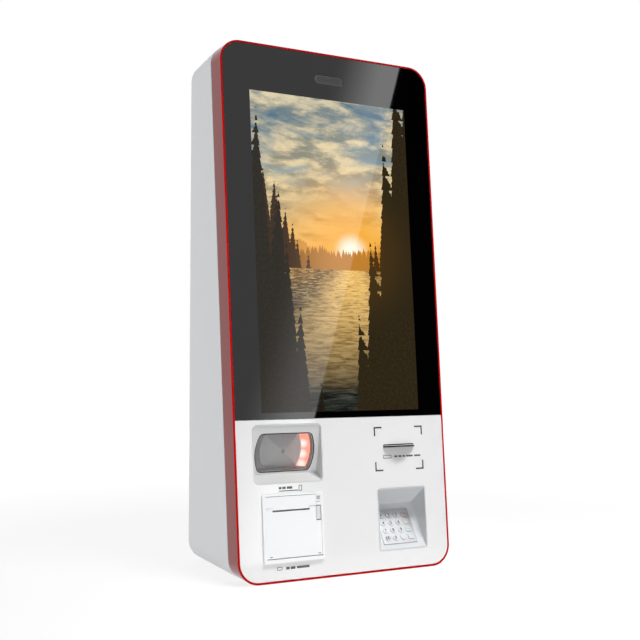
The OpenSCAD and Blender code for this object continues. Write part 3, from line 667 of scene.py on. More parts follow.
@dataclass(frozen=True)
class Ridge:
    """Line of wooded hills in the picture. Lengths are shares of the picture's width."""

    colour: str
    lit: str
    foot: float
    swell: float
    pitch: float
    seed: float
    lean: float
    wood: float
    trees: float

    def mask(
        self, tree: bpy.types.NodeTree, x: bpy.types.NodeSocket, y: bpy.types.NodeSocket, boughs: bpy.types.NodeSocket
    ) -> bpy.types.NodeSocket:
        """Where the hill covers the picture.

        Args:
            tree: the material's tree.
            x: place across.
            y: place up.
            boughs: fine noise that frays the trees.

        Returns:
            1 under the line of tree tops and 0 over it.
        """
        along = add(tree, "ShaderNodeMath", {0: x, 1: self.seed}, operation="ADD").outputs[0]
        hill = add(
            tree,
            "ShaderNodeTexNoise",
            {"W": along, "Scale": self.pitch, "Detail": 3.0, "Roughness": 0.5},
            noise_dimensions="1D",
        ).outputs[0]
        firs = add(tree, "ShaderNodeTexVoronoi", {"W": along, "Scale": self.trees}, voronoi_dimensions="1D").outputs
        tall = add(tree, "ShaderNodeSeparateXYZ", {0: firs["Color"]}).outputs[0]
        line = add(tree, "ShaderNodeMath", {0: x, 1: self.lean, 2: self.foot}, operation="MULTIPLY_ADD").outputs[0]
        storeys = add(tree, "ShaderNodeMath", {0: y, 1: 1.3 * self.trees}, operation="MULTIPLY").outputs[0]
        tier = add(tree, "ShaderNodeMath", {0: storeys}, operation="FRACT").outputs[0]
        # Hill, height of each tree, its cone, its tiers of branches, and their frayed ends
        for height, part in (
            (self.swell, hill),
            (0.6 * self.wood, tall),
            (-2.2 * self.wood, firs["Distance"]),
            (-0.3 * self.wood, tier),
            (0.5 * self.wood, boughs),
        ):
            line = add(tree, "ShaderNodeMath", {0: part, 1: height, 2: line}, operation="MULTIPLY_ADD").outputs[0]
        under = add(tree, "ShaderNodeMath", {0: line, 1: y}, operation="SUBTRACT").outputs[0]
        return add(tree, "ShaderNodeMapRange", {"Value": under, "From Max": 0.004}).outputs[0]


@dataclass(frozen=True)
class DuskPicture:
    """Generic picture on the display: evening sky over a wooded valley with a lake, in shares of its width."""

    tall: float = PICTURE_TALL / PICTURE_WIDE
    shore: float = 0.80
    sun_x: float = 0.60
    sun_rise: float = 0.10
    gold: str = "#ffcf7a"
    ridges: tuple[Ridge, ...] = (
        Ridge("#b8843f", "#f4ad4a", 0.80, 0.20, 3.2, 4.0, 0.02, 0.01, 90.0),
        Ridge("#73502a", "#c98632", 0.76, 0.26, 2.4, 9.3, 0.04, 0.025, 60.0),
        Ridge("#2e2113", "#6a4116", 1.34, 0.20, 1.9, 2.4, -1.9, 0.12, 26.0),
        Ridge("#281d11", "#58380f", -0.46, 0.20, 2.2, 6.1, 1.66, 0.14, 24.0),
    )
    banks: tuple[Ridge, ...] = (
        Ridge("#1d1a12", "#3c2b12", 1.50, 0.16, 3.0, 5.2, -4.0, 0.40, 11.0),
        Ridge("#2a2416", "#4a3617", -3.12, 0.20, 2.6, 8.8, 5.1, 0.46, 9.0),
    )

    def sky(
        self, tree: bpy.types.NodeTree, y: bpy.types.NodeSocket, at: bpy.types.NodeSocket
    ) -> bpy.types.NodeSocket:
        """Evening sky with long clouds.

        Args:
            tree: the material's tree.
            y: place up.
            at: place across and up as a vector.

        Returns:
            The sky's colour.
        """
        rise = add(
            tree, "ShaderNodeMapRange", {"Value": y, "From Min": self.shore, "From Max": self.tall}
        ).outputs[0]
        clear = add(
            tree,
            "ShaderNodeValToRGB",
            {0: rise},
            (
                (0.0, "#f9b746"),
                (0.16, "#efbd68"),
                (0.36, "#cdb88a"),
                (0.58, "#8c9fa3"),
                (0.8, "#56798d"),
                (1.0, "#41667c"),
            ),
        ).outputs[0]
        long = add(tree, "ShaderNodeMapping", {"Vector": at, "Scale": (1.5, 4.2, 1.0), "Rotation": (0, 0, 0.22)})
        puff = add(
            tree,
            "ShaderNodeTexNoise",
            {"Vector": long.outputs[0], "Scale": 1.6, "Detail": 9.0, "Roughness": 0.6, "Distortion": 0.5},
        ).outputs[0]
        cover = add(
            tree,
            "ShaderNodeMapRange",
            {"Value": puff, "From Min": 0.34, "From Max": 0.58, "To Max": 0.94},
            interpolation_type="SMOOTHSTEP",
        ).outputs[0]
        shade = add(
            tree,
            "ShaderNodeTexNoise",
            {"Vector": long.outputs[0], "Scale": 3.1, "Detail": 7.0, "Roughness": 0.62},
        ).outputs[0]
        warm = add(
            tree,
            "ShaderNodeValToRGB",
            {0: rise},
            ((0.0, "#f3b554"), (0.3, "#f3d498"), (0.6, "#f0d9a8"), (1.0, "#e6d6b0")),
        ).outputs[0]
        dark = add(
            tree,
            "ShaderNodeValToRGB",
            {0: rise},
            ((0.0, "#a0682a"), (0.4, "#9a8d70"), (1.0, "#7d8a88")),
        ).outputs[0]
        lit = add(
            tree,
            "ShaderNodeMapRange",
            {"Value": shade, "From Min": 0.38, "From Max": 0.62},
            interpolation_type="SMOOTHSTEP",
        ).outputs[0]
        cloud = add(tree, "ShaderNodeMix", {0: lit, 6: dark, 7: warm}, data_type="RGBA").outputs[2]
        return add(tree, "ShaderNodeMix", {0: cover, 6: clear, 7: cloud}, data_type="RGBA").outputs[2]

    def lake(
        self, tree: bpy.types.NodeTree, x: bpy.types.NodeSocket, y: bpy.types.NodeSocket
    ) -> bpy.types.NodeSocket:
        """Rippled water with a gold path under the sun.

        Args:
            tree: the material's tree.
            x: place across.
            y: place up.

        Returns:
            The water's colour.
        """
        near = add(tree, "ShaderNodeMath", {0: self.shore, 1: y}, operation="SUBTRACT").outputs[0]
        away = add(tree, "ShaderNodeMath", {0: near, 1: 0.10}, operation="ADD").outputs[0]
        off = add(tree, "ShaderNodeMath", {0: x, 1: self.sun_x}, operation="SUBTRACT").outputs[0]
        across = add(tree, "ShaderNodeMath", {0: off, 1: away}, operation="DIVIDE").outputs[0]
        along = add(tree, "ShaderNodeMath", {0: away, 1: 2.0}, operation="LOGARITHM").outputs[0]
        flow = add(tree, "ShaderNodeCombineXYZ", {0: across, 1: along}).outputs[0]
        wide = add(tree, "ShaderNodeMapping", {"Vector": flow, "Scale": (1.6, 8.5, 1.0)}).outputs[0]
        ripple = add(
            tree,
            "ShaderNodeTexNoise",
            {"Vector": wide, "Scale": 2.4, "Detail": 7.0, "Roughness": 0.7, "Distortion": 0.7},
        ).outputs[0]
        crest = add(
            tree,
            "ShaderNodeMapRange",
            {"Value": ripple, "From Min": 0.42, "From Max": 0.70},
            interpolation_type="SMOOTHSTEP",
        ).outputs[0]
        depth = add(tree, "ShaderNodeMapRange", {"Value": near, "From Max": self.shore}).outputs[0]
        trough = add(
            tree,
            "ShaderNodeValToRGB",
            {0: depth},
            ((0.0, "#6b4a22"), (0.2, "#3a3122"), (0.55, "#22221c"), (1.0, "#11130f")),
        ).outputs[0]
        glint = add(
            tree,
            "ShaderNodeValToRGB",
            {0: depth},
            ((0.0, "#f2c678"), (0.25, "#a1937a"), (0.6, "#6a6a60"), (1.0, "#3d433d")),
        ).outputs[0]
        water = add(tree, "ShaderNodeMix", {0: crest, 6: trough, 7: glint}, data_type="RGBA").outputs[2]
        beam = add(tree, "ShaderNodeMath", {0: across}, operation="ABSOLUTE").outputs[0]
        path = add(
            tree,
            "ShaderNodeMapRange",
            {"Value": beam, "From Min": 1.45, "From Max": 0.1},
            interpolation_type="SMOOTHSTEP",
        ).outputs[0]
        fade = add(tree, "ShaderNodeMapRange", {"Value": near, "From Min": 0.7, "From Max": 0.05}).outputs[0]
        bright = add(tree, "ShaderNodeMapRange", {"Value": ripple, "From Min": 0.24, "From Max": 0.54}).outputs[0]
        gold = add(tree, "ShaderNodeMath", {0: path, 1: bright}, operation="MULTIPLY").outputs[0]
        share = add(tree, "ShaderNodeMath", {0: gold, 1: fade}, operation="MULTIPLY").outputs[0]
        return add(
            tree, "ShaderNodeMix", {0: share, 6: water, 7: linear(self.gold)}, data_type="RGBA"
        ).outputs[2]

    def colour(
        self, tree: bpy.types.NodeTree, x: bpy.types.NodeSocket, y: bpy.types.NodeSocket
    ) -> bpy.types.NodeSocket:
        """The whole picture.

        Args:
            tree: the material's tree.
            x: place across, 0 to 1.
            y: place up, 0 to the picture's height in widths.

        Returns:
            The picture's colour.
        """
        at = add(tree, "ShaderNodeCombineXYZ", {0: x, 1: y}).outputs[0]
        sun = add(
            tree,
            "ShaderNodeVectorMath",
            {0: at, 1: (self.sun_x, self.shore + self.sun_rise, 0)},
            operation="DISTANCE",
        ).outputs["Value"]
        halo = add(
            tree,
            "ShaderNodeMapRange",
            {"Value": sun, "From Min": 0.62, "From Max": 0.02, "To Max": 0.92},
            interpolation_type="SMOOTHERSTEP",
        ).outputs[0]
        core = add(
            tree,
            "ShaderNodeMapRange",
            {"Value": sun, "From Min": 0.13, "From Max": 0.03},
            interpolation_type="SMOOTHSTEP",
        ).outputs[0]
        boughs = add(tree, "ShaderNodeTexNoise", {"Vector": at, "Scale": 60.0, "Detail": 3.0}).outputs[0]
        scene = self.sky(tree, y, at)
        for share, tone in ((halo, "#ffb53e"), (core, "#fffbe2")):
            scene = add(tree, "ShaderNodeMix", {0: share, 6: scene, 7: linear(tone)}, data_type="RGBA").outputs[2]
        wet = add(
            tree, "ShaderNodeMapRange", {"Value": y, "From Min": self.shore, "From Max": self.shore - 0.004}
        ).outputs[0]
        leaves = add(
            tree, "ShaderNodeMapRange", {"Value": boughs, "From Min": 0.4, "From Max": 0.75, "To Max": 0.4}
        ).outputs[0]
        warmth = add(tree, "ShaderNodeMath", {0: halo, 1: leaves}, operation="MAXIMUM").outputs[0]
        for ridge in self.ridges + self.banks:
            if ridge is self.banks[0]:
                water = self.lake(tree, x, y)
                scene = add(tree, "ShaderNodeMix", {0: wet, 6: scene, 7: water}, data_type="RGBA").outputs[2]
            tint = add(
                tree,
                "ShaderNodeMix",
                {0: warmth, 6: linear(ridge.colour), 7: linear(ridge.lit)},
                data_type="RGBA",
            ).outputs[2]
            cover = ridge.mask(tree, x, y, boughs)
            scene = add(tree, "ShaderNodeMix", {0: cover, 6: scene, 7: tint}, data_type="RGBA").outputs[2]
        return scene


@dataclass(frozen=True)
class DisplayGlass:
    """Tempered cover glass, printed black round the edge, bonded to the lit picture behind its clear middle."""

    name: str = "tempered_glass_black_print"
    across: float = PICTURE_WIDE
    tall: float = PICTURE_TALL
    middle: float = 705.7
    printed: str = "#020203"
    smear: float = 60.0
    bonded: float = 0.45

    def material(self) -> bpy.types.Material:
        """Builds the node material.

        Returns:
            The material.
        """
        material, tree = new_tree(self.name)
        place = add(tree, "ShaderNodeTexCoord").outputs["Object"]
        rise = LEAN.rise(tree, place)
        side = add(tree, "ShaderNodeSeparateXYZ", {0: place}).outputs["X"]
        wide = self.across * MM
        foot = (self.middle - self.tall / 2) * MM
        x = add(tree, "ShaderNodeMath", {0: side, 1: 1 / wide, 2: 0.5}, operation="MULTIPLY_ADD").outputs[0]
        y = add(tree, "ShaderNodeMath", {0: rise, 1: 1 / wide, 2: -foot / wide}, operation="MULTIPLY_ADD").outputs[0]
        picture = DuskPicture().colour(tree, x, y)
        half_x = add(tree, "ShaderNodeMath", {0: x, 1: 0.5}, operation="SUBTRACT").outputs[0]
        half_y = add(tree, "ShaderNodeMath", {0: y, 1: self.tall / self.across / 2}, operation="SUBTRACT").outputs[0]
        in_x = add(tree, "ShaderNodeMath", {0: half_x, 1: 0.0, 2: 0.5}, operation="COMPARE").outputs[0]
        in_y = add(
            tree, "ShaderNodeMath", {0: half_y, 1: 0.0, 2: self.tall / self.across / 2}, operation="COMPARE"
        ).outputs[0]
        inside = add(tree, "ShaderNodeMath", {0: in_x, 1: in_y}, operation="MULTIPLY").outputs[0]
        lit = add(
            tree, "ShaderNodeMix", {0: inside, 6: (0, 0, 0, 1), 7: picture}, data_type="RGBA"
        ).outputs[2]
        touch = add(tree, "ShaderNodeTexNoise", {"Vector": place, "Scale": 1 / (self.smear * MM), "Detail": 4.0})
        rough = add(
            tree, "ShaderNodeMapRange", {"Value": touch.outputs[0], "To Min": 0.015, "To Max": 0.05}
        ).outputs[0]
        gloss = add(
            tree, "ShaderNodeMapRange", {"Value": inside, "To Min": 1.0, "To Max": self.bonded}
        ).outputs[0]
        shader = add(
            tree,
            "ShaderNodeBsdfPrincipled",
            {
                "Base Color": linear(self.printed),
                "Roughness": rough,
                "Specular IOR Level": 0.0,
                "Coat Weight": gloss,
                "Coat Roughness": 0.02,
                "Emission Color": lit,
                "Emission Strength": 1.0,
            },
        )
        add(tree, "ShaderNodeOutputMaterial", {"Surface": shader.outputs[0]})
        return material


@dataclass(frozen=True)
class SmokedAcrylic:
    """Cast smoked acrylic: clear grey sheet with a polished face."""

    name: str = "cast_smoked_acrylic"
    tint: str = "#9a9a9a"
    body: float = 0.22
    haze: float = 25.0
    roughness: float = 0.06

    def material(self) -> bpy.types.Material:
        """Builds the node material.

        Returns:
            The material.
        """
        material, tree = new_tree(self.name)
        place = add(tree, "ShaderNodeTexCoord").outputs["Object"]
        haze = add(tree, "ShaderNodeTexNoise", {"Vector": place, "Scale": 1 / (self.haze * MM), "Detail": 3.0})
        rough = add(
            tree,
            "ShaderNodeMapRange",
            {"Value": haze.outputs[0], "To Min": self.roughness * 0.6, "To Max": self.roughness * 1.6},
        ).outputs[0]
        shader = add(
            tree,
            "ShaderNodeBsdfPrincipled",
            {"Base Color": linear(self.tint), "Roughness": rough, "IOR": 1.49, "Alpha": self.body},
        )
        add(tree, "ShaderNodeOutputMaterial", {"Surface": shader.outputs[0]})
        return material


@dataclass(frozen=True)
class LampDiffuser:
    """Milky polycarbonate over red lamps: red at its edges, pink between, white-hot over each lamp. The right bar's
    base is painted pink as its own light, the left bar's dark grey as shade.
    """

    name: str = "milky_polycarbonate_lit_red"
    glow: tuple[tuple[float, str], ...] = ((0.0, "#ff8560"), (0.25, "#ffbca8"), (0.55, "#ffe2d8"), (1.0, "#fffdf8"))
    left_bar_shade: str = "#8c8b8a"
    lit: str = "#d9a79e"
    milk: float = 2.0
    reach: float = 12.0
    power: float = 1.3

    def material(self, lamps: list[Vector]) -> bpy.types.Material:
        """Builds the node material.

        Args:
            lamps: places of the lamps in the row frame.

        Returns:
            The material.
        """
        material, tree = new_tree(self.name)
        place = add(tree, "ShaderNodeTexCoord").outputs["Object"]
        nearest = None
        for lamp in lamps:
            far = add(
                tree, "ShaderNodeVectorMath", {0: place, 1: tuple(lamp)}, operation="DISTANCE"
            ).outputs["Value"]
            nearest = (
                far
                if nearest is None
                else add(tree, "ShaderNodeMath", {0: nearest, 1: far}, operation="MINIMUM").outputs[0]
            )
        heat = add(
            tree,
            "ShaderNodeMapRange",
            {"Value": nearest, "From Min": self.reach * MM, "From Max": 0.2 * self.reach * MM},
        ).outputs[0]
        cloudy = {"Vector": place, "Scale": 1 / (self.milk * MM), "Detail": 2.0}
        milk = add(tree, "ShaderNodeTexNoise", cloudy).outputs[0]
        dim = add(
            tree, "ShaderNodeMapRange", {"Value": milk, "To Min": 0.86 * self.power, "To Max": self.power}
        ).outputs[0]
        colour = add(tree, "ShaderNodeValToRGB", {0: heat}, self.glow).outputs[0]
        # Painted light and shade: only the right bar glows, over a base painted pink as its red light; the left bar's
        # base is painted dark grey as shade
        side = add(tree, "ShaderNodeSeparateXYZ", {0: place}).outputs["X"]
        on = add(tree, "ShaderNodeMath", {0: side, 1: SCANNER.translation.x}, operation="GREATER_THAN").outputs[0]
        level = add(tree, "ShaderNodeMath", {0: dim, 1: on}, operation="MULTIPLY").outputs[0]
        base = add(
            tree, "ShaderNodeMix", {0: on, 6: linear(self.left_bar_shade), 7: linear(self.lit)}, data_type="RGBA"
        ).outputs[2]
        shader = add(
            tree,
            "ShaderNodeBsdfPrincipled",
            {
                "Base Color": base,
                "Roughness": 0.4,
                "IOR": 1.58,
                "Emission Color": colour,
                "Emission Strength": level,
            },
        )
        add(tree, "ShaderNodeOutputMaterial", {"Surface": shader.outputs[0]})
        return material


@dataclass(frozen=True)
class ReflectorShell:
    """Moulded polycarbonate: satin pale facets, with the side walls round them painted dark, and those on the lit
    lamps' side painted red as the lamps' light on them.
    """

    name: str = "moulded_satin_polycarbonate"
    facet: str = "#d4d4d4"
    wall: str = "#585858"
    red_light_wall: str = "#6e0c04"
    grain: float = 0.9

    def material(self) -> bpy.types.Material:
        """Builds the node material.

        Returns:
            The material.
        """
        material, tree = new_tree(self.name)
        spot = add(tree, "ShaderNodeTexCoord").outputs
        inward = tuple((SCANNER.to_3x3() @ Vector((0, 1, 0))).normalized())
        along = add(
            tree, "ShaderNodeVectorMath", {0: spot["Normal"], 1: inward}, operation="DOT_PRODUCT"
        ).outputs["Value"]
        faces = add(tree, "ShaderNodeMath", {0: along}, operation="ABSOLUTE").outputs[0]
        upright = add(tree, "ShaderNodeMapRange", {"Value": faces, "From Min": 0.4, "From Max": 0.2}).outputs[0]
        # Painted light: walls on the lamps' side are coloured red as the lamps' red light on them
        side = add(tree, "ShaderNodeSeparateXYZ", {0: spot["Object"]}).outputs["X"]
        lit = add(tree, "ShaderNodeMath", {0: side, 1: SCANNER.translation.x}, operation="GREATER_THAN").outputs[0]
        wall = add(
            tree, "ShaderNodeMix", {0: lit, 6: linear(self.wall), 7: linear(self.red_light_wall)}, data_type="RGBA"
        ).outputs[2]
        speck = add(tree, "ShaderNodeTexNoise", {"Vector": spot["Object"], "Scale": 1 / (self.grain * MM)}).outputs[0]
        rough = add(tree, "ShaderNodeMapRange", {"Value": speck, "To Min": 0.42, "To Max": 0.58}).outputs[0]
        bump = add(tree, "ShaderNodeBump", {"Height": speck, "Strength": 0.04, "Distance": 0.2 * MM}).outputs[0]
        colour = add(
            tree, "ShaderNodeMix", {0: upright, 6: linear(self.facet), 7: wall}, data_type="RGBA"
        ).outputs[2]
        shader = add(
            tree,
            "ShaderNodeBsdfPrincipled",
            {"Base Color": colour, "Roughness": rough, "Normal": bump, "IOR": 1.58},
        )
        add(tree, "ShaderNodeOutputMaterial", {"Surface": shader.outputs[0]})
        return material


@dataclass(frozen=True)
class LipMetal:
    """Brushed aluminium: the lip's top is pale, and its front and underside are painted black as shade."""

    name: str = "brushed_aluminium_painted_shade_edge"
    middle: float = 275.0
    tall: float = 4.0
    shade_bands: tuple[tuple[float, str], ...] = ((0.0, "#060606"), (0.7, "#040404"), (0.78, "#c8c9ca"), (1.0, "#e4e5e6"))
    brush: float = 0.5

    def material(self) -> bpy.types.Material:
        """Builds the node material.

        Returns:
            The material.
        """
        material, tree = new_tree(self.name)
        place = add(tree, "ShaderNodeTexCoord").outputs["Object"]
        rise = LEAN.rise(tree, place)
        low = (self.middle - self.tall / 2) * MM
        share = add(
            tree, "ShaderNodeMapRange", {"Value": rise, "From Min": low, "From Max": low + self.tall * MM}
        ).outputs[0]
        # Painted shade by height: black over the shaded front and underside, pale on the top
        colour = add(tree, "ShaderNodeValToRGB", {0: share}, self.shade_bands).outputs[0]
        fine = 1 / (self.brush * MM)
        stretch = (fine / BRUSH_STRETCH, fine, fine)
        lines = add(tree, "ShaderNodeMapping", {"Vector": place, "Scale": stretch}).outputs[0]
        grit = add(tree, "ShaderNodeTexNoise", {"Vector": lines, "Scale": 1.0, "Detail": 3.0}).outputs[0]
        rough = add(tree, "ShaderNodeMapRange", {"Value": grit, "To Min": 0.42, "To Max": 0.58}).outputs[0]
        bump = add(tree, "ShaderNodeBump", {"Height": grit, "Strength": 0.05, "Distance": 0.1 * MM}).outputs[0]
        shader = add(
            tree,
            "ShaderNodeBsdfPrincipled",
            {"Base Color": colour, "Roughness": rough, "Normal": bump, "Specular IOR Level": 0.05, "IOR": 1.5},
        )
        add(tree, "ShaderNodeOutputMaterial", {"Surface": shader.outputs[0]})
        return material


@dataclass
class Cabinet:
    """Folded steel cabinet with its hinges, lock, mains inlet and the units inside."""

    fold: float = 0.9
    fold_faces: int = 3
    inlet_edge: float = 0.3
    rocker_edge: float = 0.4
    roof_low: float = 1090.0
    roof_front: float = 32.3

    def falling_roof(self, node: str, finish: Finish) -> bpy.types.Object:
        """Stands for a CAD node, with the roof square to the leaning front, so that it falls towards the back.

        Args:
            node: the CAD node.
            finish: its finish.

        Returns:
            The new piece.
        """
        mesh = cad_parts[node].data.copy()
        for vertex in mesh.vertices:
            if vertex.co.z > self.roof_low * MM:
                vertex.co.z -= (vertex.co.y - self.roof_front * MM) * math.tan(LEAN.tilt)
        return piece(f"{node}_skin", mesh, finish.material(), "cabinet", (node,))

    def build(self) -> None:
        """Dresses the fixed pieces and the lock."""
        shell = self.falling_roof("cabinet_shell", CABINET_COAT)
        round_edges(shell, self.fold, self.fold_faces)
        self.falling_roof("back_panel", REAR_COAT)
        for node in ("hinge_brackets", "hinge_pins", "hinge_arms", "door_frame", "lock_strike", "lock_cam"):
            dress(node, ZINC)
        for node in ("lock_body", "lock_plug"):
            dress(node, CHROME)
        for node in ("power_supply", "display_back"):
            dress(node, FOLDED_ALUMINIUM)
        dress("computer_box", BLACK_ANODISED)
        dress("power_inlet", BLACK_NYLON, self.inlet_edge)
        dress("power_rocker", RED_SWITCH, self.rocker_edge)


@dataclass
class DoorTrim:
    """Red frame round the front: a rounded lip and a deep side band. Profile points are inset and depth."""

    lip: float = 4.2
    wall: float = 2.2
    lip_depth: float = 5.0
    depth: float = 53.0
    outer_round: float = 1.6
    inner_round: float = 0.6
    corner_steps: int = 24
    round_steps: int = 6

    def profile(self) -> Outline:
        """Closed section of the frame.

        Returns:
            Inset from the outer outline and depth of each point.
        """
        points = [(0.0, self.depth)]
        for radius, middle, start in (
            (self.outer_round, self.outer_round, 180),
            (self.inner_round, self.lip - self.inner_round, 90),
        ):
            for i in range(self.round_steps + 1):
                angle = math.radians(start - 90 * i / self.round_steps)
                points.append((middle + radius * math.cos(angle), radius - radius * math.sin(angle)))
        return points + [(self.lip, self.lip_depth), (self.wall, self.lip_depth), (self.wall, self.depth)]

    def build(self) -> None:
        """Makes the frame as one skin and lets it stand for the CAD frame."""
        loops = []
        for inset, depth in self.profile():
            outline = rounded(
                LEAN.width - 2 * inset,
                LEAN.height - 2 * inset,
                LEAN.corner - inset,
                0.0,
                LEAN.height / 2,
                self.corner_steps,
            )
            loops.append([LEAN.on_plane(x, z, depth) for x, z in outline])
        piece(
            "trim_frame_skin",
            ring_mesh("trim_frame_skin", loops, True),
            TrimEnamel().material(),
            "front_door",
            ("trim_frame",),
        )


@dataclass
class FrontPanels:
    """Cover glass over the display and the white panel under it."""

    inset: float = 4.6
    front: float = 1.0
    back: float = 5.0
    split: float = 342.0
    gap: float = 0.4
    glass_edge: float = 0.5
    panel_edge: float = 0.45
    corner_steps: int = 20
    pill: Opening = (73.2, 19.7, 9.84, 0.0, 1100.7)
    scanner_cut: Opening = (164.3, 125.1, 11.8, -137.6, 269.4)
    pad_cut: Opening = (126.3, 138.3, 5.9, 140.9, 113.4)
    printer_cut: Opening = (132.4, 133.2, 0.6, -132.2, 115.4)

    def half(self, upper: bool) -> Outline:
        """Outline of one panel.

        Args:
            upper: True for the glass, False for the white panel.

        Returns:
            Points across and up the lean.
        """
        whole = rounded(
            LEAN.width - 2 * self.inset,
            LEAN.height - 2 * self.inset,
            LEAN.corner - self.inset,
            0.0,
            LEAN.height / 2,
            self.corner_steps,
        )
        middle = (self.front + self.back) / 2
        points = [(x, LEAN.up(z, middle)) for x, z in whole]
        side = LEAN.width / 2 - self.inset
        if upper:
            level = self.split + self.gap
            return [(-side, level), (side, level)] + [p for p in points if p[1] > level]
        level = self.split - self.gap
        low = [p for p in points if p[1] < level]
        right = [p for p in low if p[0] > 0]
        left = [p for p in low if p[0] <= 0]
        return left + right + [(side, level), (-side, level)]

    def build(self) -> None:
        """Makes both panels."""
        pill = rounded(*self.pill, steps=14)
        glass = plate_mesh(
            "cover_glass_sheet", [self.half(True), pill], self.front, self.back, self.glass_edge, LEAN.matrix
        )
        piece(
            "cover_glass_sheet", glass, DisplayGlass().material(), "front_door", ("cover_glass",)
        )
        cuts = [
            rounded(*self.scanner_cut),
            rounded(*self.pad_cut),
            rounded(*self.printer_cut, steps=3),
            rounded(*MOUTH),
        ]
        panel = plate_mesh(
            "lower_panel_sheet", [self.half(False), *cuts], self.front, self.back, self.panel_edge, LEAN.matrix
        )
        piece(
            "lower_panel_sheet", panel, FASCIA_COAT.material(), "front_door", ("lower_fascia",)
        )
        dress("display_panel", BLACK_ANODISED)


@dataclass
class Speaker:
    """Speaker behind its pill-shaped grille."""

    def build(self) -> None:
        """Dresses both nodes."""
        dress("speaker_grille", GRILLE_ABS)
        dress("speaker", BLACK_NYLON)


@dataclass
class Scanner:
    """Code scanner: tray, smoked window, faceted reflector, lamp bars and lens."""

    lamp_depth: float = 18.0
    lamp_x: float = 51.0
    lamp_heights: tuple[float, ...] = (13.5, -10.0, -32.0)
    lens: float = 4.6
    lens_depth: float = 9.3
    window_width: float = 141.0
    window_side: float = 120.0
    window_height: float = 85.0
    window_corner: float = 12.0
    gasket_out: float = 0.2
    gasket_in: float = -1.6
    gasket_depth: Point2 = (0.02, 0.34)
    lens_thick: float = 0.3
    thin_edge: float = 0.1
    arc_steps: int = 12

    def barrel(self, grow: float) -> Outline:
        """Outline of the window, whose two ends are bowed.

        Args:
            grow: how far the outline lies outside the window's edge.

        Returns:
            Points across and up the window, counter-clockwise.
        """
        half = self.window_height / 2
        bow = (self.window_width - self.window_side) / 2
        radius = (half * half + bow * bow) / (2 * bow)
        arc_x = self.window_width / 2 - radius
        corner_z = half - self.window_corner
        reach = math.sqrt((radius - self.window_corner) ** 2 - corner_z**2)
        meet = math.degrees(math.atan2(corner_z, reach))
        corner_x = arc_x + reach
        points = []
        for x, z, size, start, end in (
            (arc_x, 0, radius, -meet, meet),
            (corner_x, corner_z, self.window_corner, meet, 90),
            (-corner_x, corner_z, self.window_corner, 90, 180 - meet),
            (-arc_x, 0, radius, 180 - meet, 180 + meet),
            (-corner_x, -corner_z, self.window_corner, 180 + meet, 270),
            (corner_x, -corner_z, self.window_corner, 270, 360 - meet),
        ):
            for i in range(self.arc_steps):
                angle = math.radians(start + (end - start) * i / self.arc_steps)
                points.append((x + (size + grow) * math.cos(angle), z + (size + grow) * math.sin(angle)))
        return points

    def build(self) -> None:
        """Dresses the nodes, and makes the gasket and the lens face."""
        ring = [self.barrel(self.gasket_out), self.barrel(self.gasket_in)]
        gasket = plate_mesh("scanner_gasket", ring, *self.gasket_depth, self.thin_edge, SCANNER)
        piece("scanner_gasket", gasket, GASKET_RUBBER.material(), "front_door")
        dress("scanner_tray", TRAY_ABS)
        dress("scanner_window", SmokedAcrylic().material())
        dress("scanner_reflector", ReflectorShell().material())
        lamps = [SCANNER @ Vector((self.lamp_x, self.lamp_depth, height)) for height in self.lamp_heights]
        dress("scanner_led_bars", LampDiffuser().material(lamps))
        dress("scanner_body", BLACK_NYLON)
        side = 2 * self.lens
        face = rounded(side, side, self.lens)
        back = self.lens_depth + self.lens_thick
        disc = plate_mesh("scanner_lens_face", [face], self.lens_depth, back, self.thin_edge, SCANNER)
        piece("scanner_lens_face", disc, LENS_GREY.material(), "front_door")


@dataclass
class Printer:
    """Receipt printer with its folding door, roller, gears, lever and button.

    Button is the place of the button's mark across and up the lean, and the mark's lines are side and corner.
    """

    edge: float = 0.5
    button: Point2 = (-73.0, 172.8)
    button_depth: float = -4.0
    lever_edge: float = 0.4
    mark_outer: Point2 = (5.4, 1.2)
    mark_inner: Point2 = (3.4, 0.5)

    def build(self) -> None:
        """Dresses the nodes and prints the button."""
        dress("printer_bezel", PRINTER_ABS, self.edge)
        for node in ("printer_cover", "printer_door"):
            dress(node, SHELL_ABS, self.edge)
        dress("printer_bucket", TUB_ABS)
        dress("print_head", HEAD_ALUMINIUM)
        for node in ("tear_blade", "platen_shaft", "feed_motor"):
            dress(node, GROUND_STEEL)
        for node in ("drive_gear", "platen_gear"):
            dress(node, ACETAL)
        dress("platen_roller", PLATEN_RUBBER)
        for node in ("open_lever", "feed_button"):
            dress(node, LEVER_ABS, self.lever_edge)
        lines = [rounded(side, side, corner, *self.button) for side, corner in (self.mark_outer, self.mark_inner)]
        front = self.button_depth - INK / 2
        mark = plate_mesh("feed_button_mark", lines, front, self.button_depth + INK / 2, INK_EDGE, LEAN.matrix)
        piece("feed_button_mark", mark, LEGEND_INK.material(), "feed_key")


